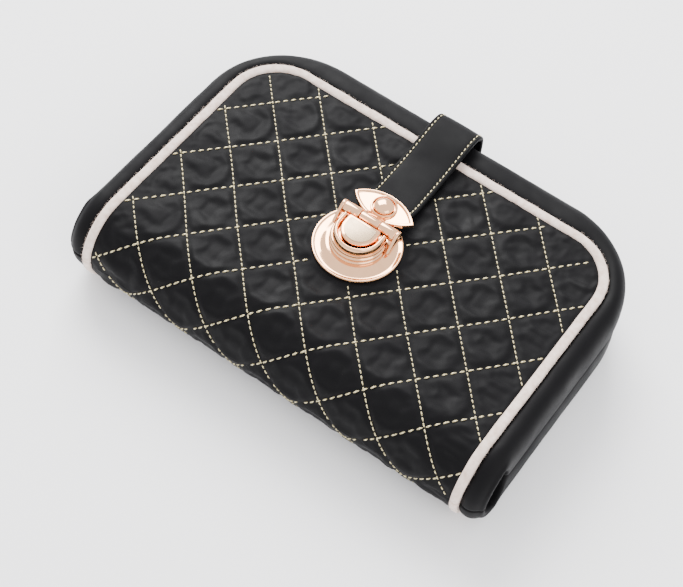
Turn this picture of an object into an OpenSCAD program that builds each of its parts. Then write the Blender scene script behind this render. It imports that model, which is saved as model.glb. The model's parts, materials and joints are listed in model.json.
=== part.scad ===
// Soft jewellery case that folds shut like a book: two padded, quilted covers
// joined by a rounded spine, and a strap with a press-release clasp.
// It lies closed on its back cover. X runs along the spine, +Y points to the
// opening edge, +Z is up, and the origin is the middle of the closed case's base.

/* [Case] */
// Length along the spine
case_w = 180; // [150:1:240]
// Depth from the spine's outside to the opening edge
case_d = 124; // [118:1:180]
// Thickness when closed
case_t = 38; // [36:1:50]
// Radius of the two outer corners at the opening edge
corner_r = 38; // [34:1:50]
// Space left between pieces that move apart
run_gap = 0.3; // [0.2:0.05:0.5]
// Space left between pieces that are sewn or glued together
seam_gap = 0.1; // [0.05:0.05:0.2]

/* [Covers] */
// Width of the plain border along the sides
border_w = 8.2; // [7:0.1:12]
// Width of the plain border along the opening edge
border_top_w = 12.4; // [8:0.1:14]
// Thickness of the padded edge wall
wall_t = 8; // [5:0.5:10]
// Rounding of the border's outer edge
border_round = 4.5; // [2:0.5:6]
// How far the border lies below the quilting's outer face
border_drop = 1; // [0.5:0.1:2]
// Width of the suede piping
piping_w = 3.8; // [2:0.1:6]
// Radius of the piping's corners, on its outer edge
piping_r = 22; // [16:1:30]
// How far the piping lies below the quilting's outer face
piping_drop = 0.4; // [0.2:0.1:1]
// Thickness of the quilted pad
quilt_t = 5; // [4:0.5:8]
// Thickness of the stiffening board
board_t = 1.5; // [1:0.1:3]
// Thickness of the lining
lining_t = 0.8; // [0.5:0.1:1.5]
// Thickness of the pad in the rounded spine
spine_pad_t = 6.5; // [5:0.5:8]

/* [Strap] */
// Width of the strap
strap_w = 19; // [12:0.5:30]
// Thickness of the strap
strap_t = 1.8; // [1.2:0.1:3]
// Slack between the strap and the opening edge
strap_slack = 0.6; // [0.4:0.1:2]
// Length sewn to the underside of the back cover
anchor_l = 21; // [15:1:30]

/* [Clasp] */
// Distance from the opening edge to the middle of the lock
lock_from_edge = 68.3; // [55:0.1:75]
// Diameter of the lock's base disc
disc_d = 33; // [28:0.5:40]
// Height of the base disc at its middle
disc_h = 2.2; // [1.5:0.1:3]
// Diameter of the lock's round body
lock_body_d = 21; // [19:0.5:24]
// Height of the lock's round body
lock_body_h = 4.3; // [3:0.1:6]
// Outer width of the U-shaped rim
rim_w = 19; // [17:0.5:21]
// Width of the rim's metal
rim_t = 2.3; // [1.5:0.1:3]
// Height of the rim
rim_h = 2.9; // [2:0.1:4]
// Gap between rim and button
button_gap = 0.5; // [0.3:0.1:1]
// Travel of the button
button_travel = 1.2; // [0.8:0.1:1.4]
// Diameter of the button's stem
stem_d = 4.8; // [3:0.1:6]
// Distance from the lock's middle to its flat back
lock_flat = 4.3; // [3:0.1:6]
// Diameter of the hasp's bar
bar_d = 4.8; // [4:0.1:6]
// Length of the hasp's bar
bar_l = 21.8; // [20:0.1:26]
// Thickness of each hasp leg
leg_t = 1.3; // [0.8:0.1:2]
// Diameter of the hasp's hinge pin
pin_d = 1.4; // [1:0.1:2]
// Length of the pointed oval plate
plate_l = 25.5; // [22:0.5:30]
// Width of the pointed oval plate
plate_w = 12; // [10:0.5:15]
// Thickness of the plate
plate_t = 1.6; // [1:0.1:2.5]
// Diameter of the rivet's domed head
rivet_d = 7.6; // [6:0.1:9]
// Diameter of the rivet's shank
shank_d = 3; // [2:0.1:4]

/* [Inside] */
// Diameter of the ring roll
roll_d = 14; // [10:0.5:16]
// Length of the ring roll
roll_l = 124; // [80:1:130]
// How far the ring roll slides out of its loops
roll_travel = 14; // [5:1:16]
// Width of each elastic loop
loop_w = 12; // [8:1:20]
// Thickness of fabric inside the case
fabric_t = 1.2; // [0.8:0.1:1.6]
// Half the width of the necklace pocket
necklace_pocket_half = 62; // [40:1:66]
// Height of the space in the necklace pocket
necklace_pocket_h = 4.9; // [4.5:0.1:6]
// Number of necklace tabs
tab_count = 3; // [3:3]
// Distance between necklace tabs
tab_pitch = 45; // [30:1:50]
// Width of a necklace tab
tab_w = 12; // [10:1:16]
// Length of a necklace tab
tab_l = 14; // [12:1:15]
// Half the width of the zip pocket
zip_pocket_half = 72; // [60:1:72]
// Height of the space in the zip pocket
zip_pocket_h = 4.9; // [4.5:0.1:6]
// Travel of the zip's slider
zip_travel = 118; // [80:1:120]
// Length of the zip's pull
pull_l = 10; // [8:1:11]
// Length of the earring flap from its fold to its free edge
flap_l = 28; // [20:1:30]
// Diameter of an earring hole
earring_hole_d = 1.6; // [1.2:0.1:2.5]

/* [Hidden] */
$fn = 96;

black = "#17161a";
suede = "#e2cfc2";
beige = "#cdb9a5";
rose_gold = "#e6b98f";
dull_gold = "#a98a63";
steel = "#b9bcc0";
card = "#8d7b66";

mid_z = case_t / 2;
strap_out = strap_slack + strap_t;
y_out = (case_d + strap_out) / 2;
y_top = y_out - strap_out;
spine_r = mid_z;
spine_y = spine_r - y_out;

// Plan of the piping and of the quilting inside it
pipe_half = case_w / 2 - border_w;
pipe_top = y_top - border_top_w;
quilt_half = pipe_half - piping_w;
quilt_top = pipe_top - piping_w;

// The wall and what lies inside it
inner_half = case_w / 2 - wall_t;
inner_top = y_top - wall_t;
inner_r = corner_r - wall_t;
board_z = quilt_t + seam_gap;
lining_z = board_z + board_t + seam_gap;
floor_z = lining_z + lining_t;
ceiling_z = case_t - floor_z;
rim_z = mid_z - run_gap / 2;

// The spine folds along two lines, 45 degrees round from each cover
fold_angle = 45;
fold_gap = 0.7;
lining_r = spine_r - floor_z;

// The strap lies on the front cover and climbs over the lock's disc
strap_z = case_t + run_gap;
strap_top_z = strap_z + strap_t;
anchor_z = 0.2;
recess_gap = 0.2;
strap_mitre = 0.3;

// The lock stands on the front cover, in its own frame at lock_y, lock_z
lock_y = y_top - lock_from_edge;
lock_z = case_t + seam_gap;
disc_rim_h = 1;
body_top = disc_h + lock_body_h;
bar_y = lock_flat + bar_d / 2 + 0.4;
bar_z = 7;
strap_rise = disc_h + run_gap + 0.1;
strap_end = bar_y + bar_d / 2 + 1;
ramp_y = disc_d / 2 + 1;
ramp_l = 7;
plate_y = strap_end + plate_w / 2 - 0.6;
plate_z = strap_top_z + strap_rise - lock_z + seam_gap;
knuckle_d = 2.8;
knuckle_l = 8;
leg_x = bar_l / 2;
foot_y = bar_y - 5;
foot_z = disc_h + 1.3;
foot_d = 2.4;
prong_w = 1.6;
prong_t = 0.6;
prong_x = 6;
backing_d = 18;
backing_t = 0.8;
cap_z = body_top + button_travel + seam_gap;
cap_h = 1.9;
stem_z = disc_h + button_travel + 0.4;

// Pieces inside the back cover
roll_y = spine_y + 18;
roll_x = -2;
roll_z = floor_z + roll_d / 2 + run_gap;
loop_x = [-42, 42];
loop_r = roll_d / 2 + run_gap;
flap_y = inner_top - lining_t - 2.6;
zip_tape_w = 4.4;
teeth_w = 1.2;
zip_y = flap_y - flap_l - 0.4 - fabric_t - zip_tape_w - teeth_w / 2;
pocket_y = [roll_y + loop_r + fabric_t + 7, zip_y - 5.5];
pocket_top_z = floor_z + seam_gap + necklace_pocket_h + fabric_t;
rail_y = inner_top - lining_t - 5.2;
rail_w = 4.4;
tab_z = floor_z + 3;
tab_t = 1.4;
snap_d = 7.6;
snap_y = rail_y - tab_l + snap_d / 2;

// Pieces inside the front cover
zip_pocket_y = [spine_y + 5, zip_y - teeth_w / 2 - zip_tape_w];
zip_upper_y = zip_y + teeth_w / 2 + zip_tape_w;
pouch_z = ceiling_z - seam_gap - zip_pocket_h - fabric_t;
tooth_pitch = 2;
slider_x = zip_travel / 2 + 1;
slider_l = 8;
slider_w = 7;
slider_z = pouch_z - run_gap - 1.4;
bridge_d = 1.2;
bridge_z = slider_z - 1.4;
eye_d = 3.4;
flap_half = 58;
flap_z = ceiling_z - run_gap - 1.4;

// Plan of a cover: square at the spine, with two round corners at the top
module plan(half_w, top, r) {
    translate([-half_w, spine_y]) square([2 * half_w, top - r - spine_y]);
    translate([r - half_w, spine_y]) square([2 * (half_w - r), top - spine_y]);
    for (side = [-1, 1]) translate([side * (half_w - r), top - r]) circle(r);
}

// A stretch of ring about the spine's own axis; 0 degrees points down
module spine_turn(from, to) {
    translate([0, spine_y, mid_z]) rotate([0, 90, 0]) rotate([0, 0, -from])
        rotate_extrude(angle = from - to) children();
}

// Angles of the stretch that belongs to a cover, and of the loose middle
module cover_turn() spine_turn(0, fold_angle - fold_gap) children();
module middle_turn() spine_turn(fold_angle + fold_gap, 180 - fold_angle - fold_gap) children();

module quilt_section() {
    translate([spine_r - spine_pad_t, -quilt_half]) square([spine_pad_t, 2 * quilt_half]);
}

module piping_section() {
    pad_r = spine_r - spine_pad_t;
    for (x = [-pipe_half, quilt_half + seam_gap])
        translate([pad_r, x]) square([spine_r - piping_drop - pad_r, piping_w - seam_gap]);
}

// Border round the spine: a flat strip with its outer corner rounded
module border_section() {
    r0 = spine_r - spine_pad_t;
    r1 = spine_r - border_drop;
    x0 = pipe_half + seam_gap;
    x1 = case_w / 2;
    for (side = [0, 1]) mirror([0, side]) intersection() {
        translate([r0, x0]) square([r1 - r0, x1 - x0]);
        union() {
            translate([0, x0]) square([r1, x1 - x0 - border_round]);
            translate([0, x0]) square([r1 - border_round, x1 - x0]);
            translate([r1 - border_round, x1 - border_round]) circle(border_round);
        }
    }
}

module lining_section() {
    translate([lining_r, -inner_half + seam_gap])
        square([lining_t, 2 * (inner_half - seam_gap)]);
}

// Channel in the back cover's outside for the sewn end of the strap
module strap_recess() {
    translate([-strap_w / 2 - recess_gap, y_top - anchor_l - recess_gap, -1])
        cube([strap_w + 2 * recess_gap, anchor_l + 10, 1 + anchor_z + strap_t + seam_gap]);
}

// Section of the padded edge wall, measured from the case's outline
module wall_section() {
    translate([-wall_t, border_drop])
        square([wall_t - border_round, rim_z - border_drop]);
    translate([-border_round, border_drop + border_round])
        square([border_round, rim_z - border_drop - border_round]);
    translate([-border_round, border_drop + border_round]) intersection() {
        circle(border_round);
        translate([0, -border_round]) square(border_round);
    }
}

module wall() {
    side_l = y_top - corner_r - spine_y;
    for (side = [0, 1]) mirror([side, 0, 0]) {
        translate([case_w / 2, y_top - corner_r, 0]) rotate([90, 0, 0])
            linear_extrude(side_l) wall_section();
        translate([case_w / 2 - corner_r, y_top - corner_r, 0])
            rotate_extrude(angle = 90) translate([corner_r, 0]) wall_section();
    }
    translate([corner_r - case_w / 2, y_top, 0]) rotate([90, 0, 90])
        linear_extrude(case_w - 2 * corner_r) wall_section();
}

// Each cover is drawn lying at the bottom; the front one is turned over
module quilt() {
    linear_extrude(quilt_t) plan(quilt_half, quilt_top, piping_r - piping_w);
    cover_turn() quilt_section();
}

module piping() {
    translate([0, 0, piping_drop]) linear_extrude(quilt_t - piping_drop) difference() {
        plan(pipe_half, pipe_top, piping_r);
        plan(quilt_half + seam_gap, quilt_top + seam_gap, piping_r - piping_w + seam_gap);
    }
    cover_turn() piping_section();
}

module border() {
    difference() {
        union() {
            wall();
            translate([0, 0, border_drop]) linear_extrude(quilt_t - border_drop)
                plan(case_w / 2 - border_round, y_top - border_round, corner_r - border_round);
        }
        translate([0, 0, -1]) linear_extrude(quilt_t + seam_gap + 1)
            plan(pipe_half + seam_gap, pipe_top + seam_gap, piping_r + seam_gap);
    }
    cover_turn() border_section();
}

module board() {
    translate([0, 0, board_z]) linear_extrude(board_t)
        plan(inner_half - seam_gap, inner_top - seam_gap, inner_r - seam_gap);
}

module lining() {
    translate([0, 0, lining_z]) linear_extrude(lining_t)
        plan(inner_half - seam_gap, inner_top - seam_gap, inner_r - seam_gap);
    translate([0, 0, lining_z]) linear_extrude(rim_z - 0.3 - lining_z) difference() {
        plan(inner_half - seam_gap, inner_top - seam_gap, inner_r - seam_gap);
        translate([0, -1]) plan(inner_half - seam_gap - lining_t,
            inner_top - seam_gap - lining_t + 1, inner_r - seam_gap - lining_t);
    }
    cover_turn() lining_section();
}

module turn_over() {
    translate([0, 0, case_t]) mirror([0, 0, 1]) children();
}

module back_quilt() color(black) difference() { quilt(); strap_recess(); }
module back_piping() color(suede) difference() { piping(); strap_recess(); }
module back_border() color(black) difference() { border(); strap_recess(); }
module back_board() color(card) board();
module back_lining() color(beige) lining();

module spine_quilt() color(black) middle_turn() quilt_section();
module spine_piping() color(suede) middle_turn() piping_section();
module spine_border() color(black) middle_turn() border_section();
module spine_lining() color(beige) middle_turn() lining_section();

// The lock's two prongs pass through slots in the pad and the board
module prong_slots() {
    for (side = [-1, 1]) translate([side * prong_x - prong_w / 2 - seam_gap,
            lock_y - prong_t / 2 - seam_gap, ceiling_z])
        cube([prong_w + 2 * seam_gap, prong_t + 2 * seam_gap, floor_z + 1]);
}

module front_quilt() color(black) difference() { turn_over() quilt(); prong_slots(); }
module front_piping() color(suede) turn_over() piping();
module front_border() color(black) turn_over() border();

module front_board() color(card) difference() {
    turn_over() board();
    prong_slots();
    translate([0, lock_y, case_t - board_z - board_t - 1])
        cylinder(d = backing_d + 2 * seam_gap, h = backing_t + seam_gap + 1);
}

module front_lining() color(beige) turn_over() lining();

// Strap pieces are outlines seen from the side, cut at 45 degrees at each fold
module strap_piece(points) {
    translate([-strap_w / 2, 0, 0]) rotate([90, 0, 90]) linear_extrude(strap_w)
        polygon(points);
}

module strap_anchor() color(black) strap_piece([
    [y_top - anchor_l, anchor_z], [y_out - strap_mitre, anchor_z],
    [y_out - strap_mitre - strap_t, anchor_z + strap_t],
    [y_top - anchor_l, anchor_z + strap_t]]);

module strap_riser() color(black) strap_piece([
    [y_out - strap_t, anchor_z + strap_t + strap_mitre], [y_out, anchor_z + strap_mitre],
    [y_out, strap_top_z - strap_mitre], [y_out - strap_t, strap_z - strap_mitre]]);

module strap_band() color(black) difference() {
    strap_piece([
        [lock_y + strap_end, strap_z + strap_rise],
        [lock_y + ramp_y, strap_z + strap_rise],
        [lock_y + ramp_y + ramp_l, strap_z],
        [y_out - strap_mitre - strap_t, strap_z],
        [y_out - strap_mitre, strap_top_z],
        [lock_y + ramp_y + ramp_l, strap_top_z],
        [lock_y + ramp_y, strap_top_z + strap_rise],
        [lock_y + strap_end, strap_top_z + strap_rise]]);
    translate([0, lock_y + plate_y, strap_z + strap_rise - 1]) {
        cylinder(d = shank_d + 2 * seam_gap, h = strap_t + 2);
        cylinder(d = rivet_d - 1 + 2 * seam_gap, h = 1 + 0.7);
    }
}

// Pointed oval: where two equal circles meet
module oval(l, w) {
    r = (l * l + w * w) / (4 * w);
    intersection() {
        translate([0, r - w / 2]) circle(r, $fn = 180);
        translate([0, w / 2 - r]) circle(r, $fn = 180);
    }
}

module at_lock() {
    translate([0, lock_y, lock_z]) children();
}

module latch_plate() color(rose_gold) at_lock() difference() {
    union() {
        translate([0, plate_y, plate_z]) linear_extrude(plate_t) oval(plate_l, plate_w);
        translate([0, plate_y, plate_z + plate_t - 0.1]) cylinder(d = rivet_d + 2, h = 0.7);
        translate([-knuckle_l / 2, 0, 0]) rotate([90, 0, 90]) linear_extrude(knuckle_l) {
            translate([bar_y, bar_z]) circle(d = knuckle_d, $fn = 48);
            polygon([[bar_y + 0.6, bar_z - knuckle_d / 2], [plate_y - 2, plate_z],
                [plate_y - 2, plate_z + plate_t], [bar_y + 0.6, bar_z + 0.2]]);
        }
    }
    translate([0, plate_y, plate_z + plate_t]) cylinder(d = rivet_d + 0.4, h = 2);
    translate([0, plate_y, plate_z - 1]) cylinder(d = shank_d + 2 * seam_gap, h = 4);
    translate([-knuckle_l, bar_y, bar_z]) rotate([0, 90, 0])
        cylinder(d = pin_d + 0.1, h = 2 * knuckle_l, $fn = 48);
}

// Domed head, shank and the spread tail under the strap
module latch_rivet() color(rose_gold) at_lock() translate([0, plate_y, 0]) {
    rise = 2;
    head_z = plate_z + plate_t + 0.1;
    dome_r = (rivet_d * rivet_d / 4 + rise * rise) / (2 * rise);
    translate([0, 0, head_z]) intersection() {
        translate([0, 0, rise - dome_r]) sphere(dome_r);
        cylinder(d = rivet_d, h = rise + 1);
    }
    tail_z = strap_z + strap_rise - lock_z + 0.05;
    translate([0, 0, tail_z]) cylinder(d = shank_d, h = head_z - tail_z + 0.1);
    translate([0, 0, tail_z]) cylinder(d = rivet_d - 1, h = 0.5);
}

// Bar with a notch for the plate's knuckle, and two hooked legs
module hasp() color(rose_gold) at_lock() difference() {
    union() {
        translate([-bar_l / 2, bar_y, bar_z]) rotate([0, 90, 0])
            cylinder(d = bar_d, h = bar_l, $fn = 48);
        for (side = [0, 1]) mirror([side, 0, 0])
            translate([leg_x, 0, 0]) rotate([90, 0, 90]) linear_extrude(leg_t) {
                translate([bar_y, bar_z]) circle(d = bar_d, $fn = 48);
                translate([foot_y, foot_z]) circle(d = foot_d, $fn = 48);
                polygon([[bar_y - bar_d / 2 + 0.4, bar_z + 0.8],
                    [bar_y + 0.8, bar_z - bar_d / 2 + 0.4],
                    [foot_y + foot_d * 0.3, foot_z - foot_d * 0.4],
                    [foot_y - foot_d * 0.3, foot_z + foot_d * 0.4]]);
            }
    }
    notch = knuckle_l + 2 * run_gap;
    translate([-notch / 2, bar_y, bar_z]) rotate([0, 90, 0])
        cylinder(d = knuckle_d + 2 * run_gap, h = notch, $fn = 48);
    translate([-notch / 2, bar_y, bar_z - bar_d]) cube([notch, bar_d, 2 * bar_d]);
    translate([-bar_l, bar_y, bar_z]) rotate([0, 90, 0])
        cylinder(d = pin_d + 0.04, h = 2 * bar_l, $fn = 48);
}

module hasp_pin() color(rose_gold) at_lock()
    translate([-bar_l / 2 - leg_t, bar_y, bar_z]) rotate([0, 90, 0])
        cylinder(d = pin_d, h = bar_l + 2 * leg_t, $fn = 48);

module lock_disc() color(rose_gold) at_lock() rotate_extrude() polygon([
    [0, 0], [disc_d / 2 - 0.4, 0], [disc_d / 2, 0.4], [disc_d / 2, disc_rim_h - 0.2],
    [disc_d / 2 - 0.5, disc_rim_h], [lock_body_d / 2 + 0.6, disc_h], [0, disc_h]]);

// Stepped round body with two grooves, cut flat towards the strap
module lock_body() color(rose_gold) at_lock() difference() {
    r = lock_body_d / 2;
    h = lock_body_h;
    translate([0, 0, disc_h]) rotate_extrude() polygon([[0, 0], [r, 0],
        [r, 0.3 * h], [r - 0.5, 0.36 * h], [r - 0.5, 0.5 * h], [r - 0.1, 0.56 * h],
        [r - 0.1, 0.72 * h], [r - 0.7, 0.78 * h], [r - 0.7, h], [0, h]]);
    translate([-disc_d / 2, lock_flat, 0]) cube(disc_d);
    translate([0, 0, disc_h - 1]) cylinder(d = stem_d + 0.2, h = lock_body_h + 2);
}

// Outline of the rim and the button: round to the spine, flat to the strap
module horseshoe(r, back) {
    circle(r);
    translate([-r, 0]) square([2 * r, back]);
}

module lock_rim() color(rose_gold) at_lock() translate([0, 0, body_top])
    linear_extrude(rim_h) difference() {
        intersection() {
            horseshoe(rim_w / 2, lock_flat - 0.3);
            translate([-rim_w, -rim_w]) square([2 * rim_w, rim_w + lock_flat - 0.3]);
        }
        horseshoe(rim_w / 2 - rim_t, rim_w);
    }

module button_plan(inset) {
    r = rim_w / 2 - rim_t - button_gap - inset;
    intersection() {
        horseshoe(r, lock_flat - 0.3 - inset);
        translate([-r, -r]) square([2 * r, r + lock_flat - 0.3 - inset]);
    }
}

module lock_button() color(rose_gold) at_lock() {
    translate([0, 0, cap_z]) linear_extrude(cap_h) button_plan(0);
    translate([0, 0, stem_z]) cylinder(d = stem_d, h = cap_z - stem_z + 0.1);
}

module button_face() color(dull_gold) at_lock()
    translate([0, 0, cap_z + cap_h]) linear_extrude(0.25) button_plan(1.1);

// Coil spring wound close, drawn as rings of wire that touch
module lock_spring() color(steel) at_lock() {
    wire_r = 0.27;
    coil_r = stem_d / 2 - 0.6;
    rings = 3;
    low = disc_h + 0.05 + wire_r;
    high = stem_z - 0.05 - wire_r;
    for (i = [0:rings - 1]) translate([0, 0, low + (high - low) * i / (rings - 1)])
        rotate_extrude() translate([coil_r, 0]) circle(wire_r, $fn = 32);
}

// Round plate inside the cover, with the two prongs that hold the lock
module lock_backing() color(steel) {
    z = case_t - board_z - board_t;
    translate([0, lock_y, z]) cylinder(d = backing_d, h = backing_t);
    for (side = [-1, 1])
        translate([side * prong_x - prong_w / 2, lock_y - prong_t / 2, z])
            cube([prong_w, prong_t, lock_z - z]);
}

// Padded roll with rounded ends, lying in two elastic loops
module ring_roll() color(beige) translate([roll_x - roll_l / 2, roll_y, roll_z])
    rotate([0, 90, 0]) rotate_extrude() {
        end_r = 3;
        square([roll_d / 2 - end_r, roll_l]);
        translate([0, end_r]) square([roll_d / 2, roll_l - 2 * end_r]);
        for (z = [end_r, roll_l - end_r]) translate([roll_d / 2 - end_r, z])
            circle(end_r, $fn = 48);
    }

module ring_loops() color(black) for (x = loop_x)
    translate([x - loop_w / 2, roll_y, 0]) rotate([90, 0, 90]) linear_extrude(loop_w) {
        base = floor_z + seam_gap;
        difference() {
            union() {
                translate([0, roll_z]) circle(loop_r + fabric_t);
                translate([-loop_r - fabric_t, base])
                    square([2 * (loop_r + fabric_t), roll_z - base]);
            }
            translate([0, roll_z]) circle(loop_r);
            translate([-loop_r, base - 1]) square([2 * loop_r, roll_z - base + 1]);
            translate([-roll_d, -case_t]) square([2 * roll_d, case_t + base]);
        }
    }

module necklace_rail() color(beige)
    translate([-tab_pitch - tab_w, rail_y + run_gap, floor_z + seam_gap])
        cube([2 * (tab_pitch + tab_w), rail_w, tab_z + tab_t - floor_z - seam_gap]);

module necklace_tab(x) color(beige) difference() {
    translate([x - tab_w / 2, rail_y - tab_l, tab_z]) cube([tab_w, tab_l, tab_t]);
    translate([x, snap_y, tab_z - 1]) cylinder(d = 3.2, h = tab_t + 2, $fn = 48);
}

// Press stud's cap: a disc above the tab, a neck and a socket below it
module snap_cap(x) color(rose_gold) translate([x, snap_y, tab_z]) {
    translate([0, 0, tab_t]) cylinder(d = snap_d, h = 1.2, $fn = 48);
    translate([0, 0, -1]) cylinder(d = snap_d - 1, h = 1, $fn = 48);
    translate([0, 0, -0.5]) cylinder(d = 3, h = tab_t + 1, $fn = 48);
}

module snap_studs() color(rose_gold) for (i = [-1:tab_count - 2])
    translate([i * tab_pitch, snap_y, floor_z + seam_gap])
        cylinder(d = snap_d - 1, h = tab_z - 1 - run_gap - floor_z - seam_gap, $fn = 48);

module necklace_tab_left() necklace_tab(-tab_pitch);
module necklace_tab_middle() necklace_tab(0);
module necklace_tab_right() necklace_tab(tab_pitch);
module snap_cap_left() snap_cap(-tab_pitch);
module snap_cap_middle() snap_cap(0);
module snap_cap_right() snap_cap(tab_pitch);

// Pocket for chains: a panel on three low walls, open towards the tabs
module necklace_pocket() color(beige) difference() {
    base = floor_z + seam_gap;
    half = necklace_pocket_half;
    l = pocket_y[1] - pocket_y[0];
    translate([-half, pocket_y[0], base]) cube([2 * half, l, pocket_top_z - base]);
    translate([-half + fabric_t, pocket_y[0] + fabric_t, base - 1])
        cube([2 * (half - fabric_t), l, pocket_top_z - fabric_t - base + 1]);
}

// Zipped pocket under the front lining, with a slot that the zip closes
module zip_pocket() color(beige) difference() {
    top = ceiling_z - seam_gap;
    half = zip_pocket_half;
    end_y = zip_upper_y + fabric_t;
    y0 = zip_pocket_y[0];
    translate([-half, y0, pouch_z]) cube([2 * half, end_y - y0, top - pouch_z]);
    translate([-half + fabric_t, y0 + fabric_t, pouch_z + fabric_t])
        cube([2 * (half - fabric_t), end_y - y0 - 2 * fabric_t, top]);
    translate([-half + fabric_t, zip_pocket_y[1], pouch_z - 1])
        cube([2 * (half - fabric_t), zip_upper_y - zip_pocket_y[1], 4]);
}

module zip_tape() color(black) for (side = [-1, 1])
    translate([-zip_pocket_half + fabric_t + seam_gap,
            zip_y + side * (teeth_w + zip_tape_w) / 2 - zip_tape_w / 2 + seam_gap,
            pouch_z + 0.2])
        cube([2 * (zip_pocket_half - fabric_t - seam_gap), zip_tape_w - 2 * seam_gap, 0.7]);

// A row of small teeth that alternate from one tape to the other
module zip_teeth() color(rose_gold) {
    n = floor((zip_travel + slider_l) / tooth_pitch);
    for (i = [0:n - 1])
        translate([(i - n / 2) * tooth_pitch + 0.2, zip_y - teeth_w / 2 + (i % 2) * 0.3,
                pouch_z])
            cube([tooth_pitch - 0.4, teeth_w - 0.3, 1.1]);
}

module zip_stops() color(rose_gold) for (side = [-1, 1])
    translate([side * (slider_x + slider_l / 2 + 2) - 0.8, zip_y - teeth_w, pouch_z - 0.9])
        cube([1.6, 2 * teeth_w, 1]);

// Slider plate under the teeth, with two ears and a pin for the pull
module zip_slider() color(rose_gold) translate([slider_x, zip_y, 0]) {
    translate([-slider_l / 2, -slider_w / 2, slider_z])
        cube([slider_l, slider_w, 1.4]);
    for (y = [-2.2, 1.2]) translate([-0.9, y, bridge_z - 0.9])
        cube([1.8, 1, slider_z - bridge_z + 1.4]);
    translate([0, 2, bridge_z]) rotate([90, 0, 0]) cylinder(d = bridge_d, h = 4, $fn = 48);
}

module zip_pull() color(rose_gold) translate([slider_x, zip_y, bridge_z]) difference() {
    union() {
        translate([0, 0.8, 0]) rotate([90, 0, 0]) cylinder(d = 2.2, h = 1.6, $fn = 48);
        translate([-pull_l, -0.8, -0.6]) cube([pull_l - 0.6, 1.6, 1]);
        translate([-pull_l, 0, -0.6]) cylinder(d = 5, h = 1, $fn = 48);
    }
    translate([0, 2, 0]) rotate([90, 0, 0]) cylinder(d = bridge_d + 0.2, h = 4, $fn = 48);
    translate([-pull_l, 0, -1]) cylinder(d = 2, h = 2, $fn = 48);
}

// Stiff flap with pairs of holes for earring posts
module earring_flap() color(beige) difference() {
    translate([-flap_half, flap_y - flap_l, flap_z]) cube([2 * flap_half, flap_l, 1.4]);
    for (row = [0, 1], col = [-2:2], side = [-1, 1])
        translate([col * 24 + side * 4, flap_y - flap_l * (0.34 + 0.36 * row), flap_z - 1])
            cylinder(d = earring_hole_d, h = 3, $fn = 24);
}

back_quilt();
back_piping();
back_border();
back_board();
back_lining();
spine_quilt();
spine_piping();
spine_border();
spine_lining();
front_quilt();
front_piping();
front_border();
front_board();
front_lining();
strap_anchor();
strap_riser();
strap_band();
latch_plate();
latch_rivet();
hasp();
hasp_pin();
lock_disc();
lock_body();
lock_rim();
lock_button();
button_face();
lock_spring();
lock_backing();
ring_roll();
ring_loops();
necklace_rail();
necklace_tab_left();
necklace_tab_middle();
necklace_tab_right();
snap_cap_left();
snap_cap_middle();
snap_cap_right();
snap_studs();
necklace_pocket();
zip_pocket();
zip_tape();
zip_teeth();
zip_stops();
zip_slider();
zip_pull();
earring_flap();
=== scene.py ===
import json
import math
import random

import bmesh
import bpy
import numpy as np
from mathutils import Matrix, Quaternion, Vector, noise


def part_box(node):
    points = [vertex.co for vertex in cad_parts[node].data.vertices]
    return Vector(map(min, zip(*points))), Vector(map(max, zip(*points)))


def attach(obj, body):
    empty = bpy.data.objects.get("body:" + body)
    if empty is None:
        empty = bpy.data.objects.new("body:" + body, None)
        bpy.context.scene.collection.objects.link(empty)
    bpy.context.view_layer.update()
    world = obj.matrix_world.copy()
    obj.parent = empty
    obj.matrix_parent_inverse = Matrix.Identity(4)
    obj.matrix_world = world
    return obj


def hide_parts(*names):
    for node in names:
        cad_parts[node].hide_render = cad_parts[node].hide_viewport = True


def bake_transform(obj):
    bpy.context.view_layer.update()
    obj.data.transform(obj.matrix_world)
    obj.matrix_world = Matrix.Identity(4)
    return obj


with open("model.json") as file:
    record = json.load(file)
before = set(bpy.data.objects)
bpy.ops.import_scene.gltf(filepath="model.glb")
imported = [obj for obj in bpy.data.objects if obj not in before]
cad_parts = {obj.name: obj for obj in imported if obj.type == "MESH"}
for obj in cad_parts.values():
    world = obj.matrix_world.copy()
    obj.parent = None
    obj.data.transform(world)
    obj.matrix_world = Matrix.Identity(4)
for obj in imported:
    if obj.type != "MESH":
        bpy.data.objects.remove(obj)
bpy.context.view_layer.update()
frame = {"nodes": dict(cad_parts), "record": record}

mm = 0.001
random.seed(11)
print("frame loaded")

# Sizes that the whole case shares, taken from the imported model, in metres
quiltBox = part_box("front_quilt")
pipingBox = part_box("front_piping")
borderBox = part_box("front_border")
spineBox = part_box("spine_quilt")
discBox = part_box("lock_disc")
faceZ = quiltBox[1].z                      # outer face of the front cover
midZ = faceZ / 2
spineR = midZ
spineY = spineBox[0].y + spineR            # the covers end here and the spine begins
seamS = spineY - math.pi * spineR / 2      # middle of the spine, along the unrolled shell
quiltHalf, quiltTop = quiltBox[1].x, quiltBox[1].y
pipeHalf, pipeTop = pipingBox[1].x, pipingBox[1].y
caseHalf, caseTop = borderBox[1].x, borderBox[1].y
pipeR, quiltR, caseR = 22 * mm, 18.2 * mm, 38 * mm
lockX, lockY = 0.0, (discBox[0].y + discBox[1].y) / 2
lockZ = discBox[0].z
discR = discBox[1].x


# small tools used by many pieces

def smooth(a, b, x):
    t = np.clip((x - a) / (b - a), 0, 1)
    return t * t * (3 - 2 * t)


# The shell is drawn flat, x by s, and this rolls it round the spine
def wrapSpine(points):
    turn = (spineY - points[:, 1]) / spineR
    r = points[:, 2] - midZ
    out = points.copy()
    on = (turn > 0) & (turn < math.pi)
    out[on, 1] = spineY - r[on] * np.sin(turn[on])
    out[on, 2] = midZ + r[on] * np.cos(turn[on])
    under = turn >= math.pi
    out[under, 1] = spineY + (turn[under] - math.pi) * spineR
    out[under, 2] = midZ - r[under]
    return out


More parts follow.
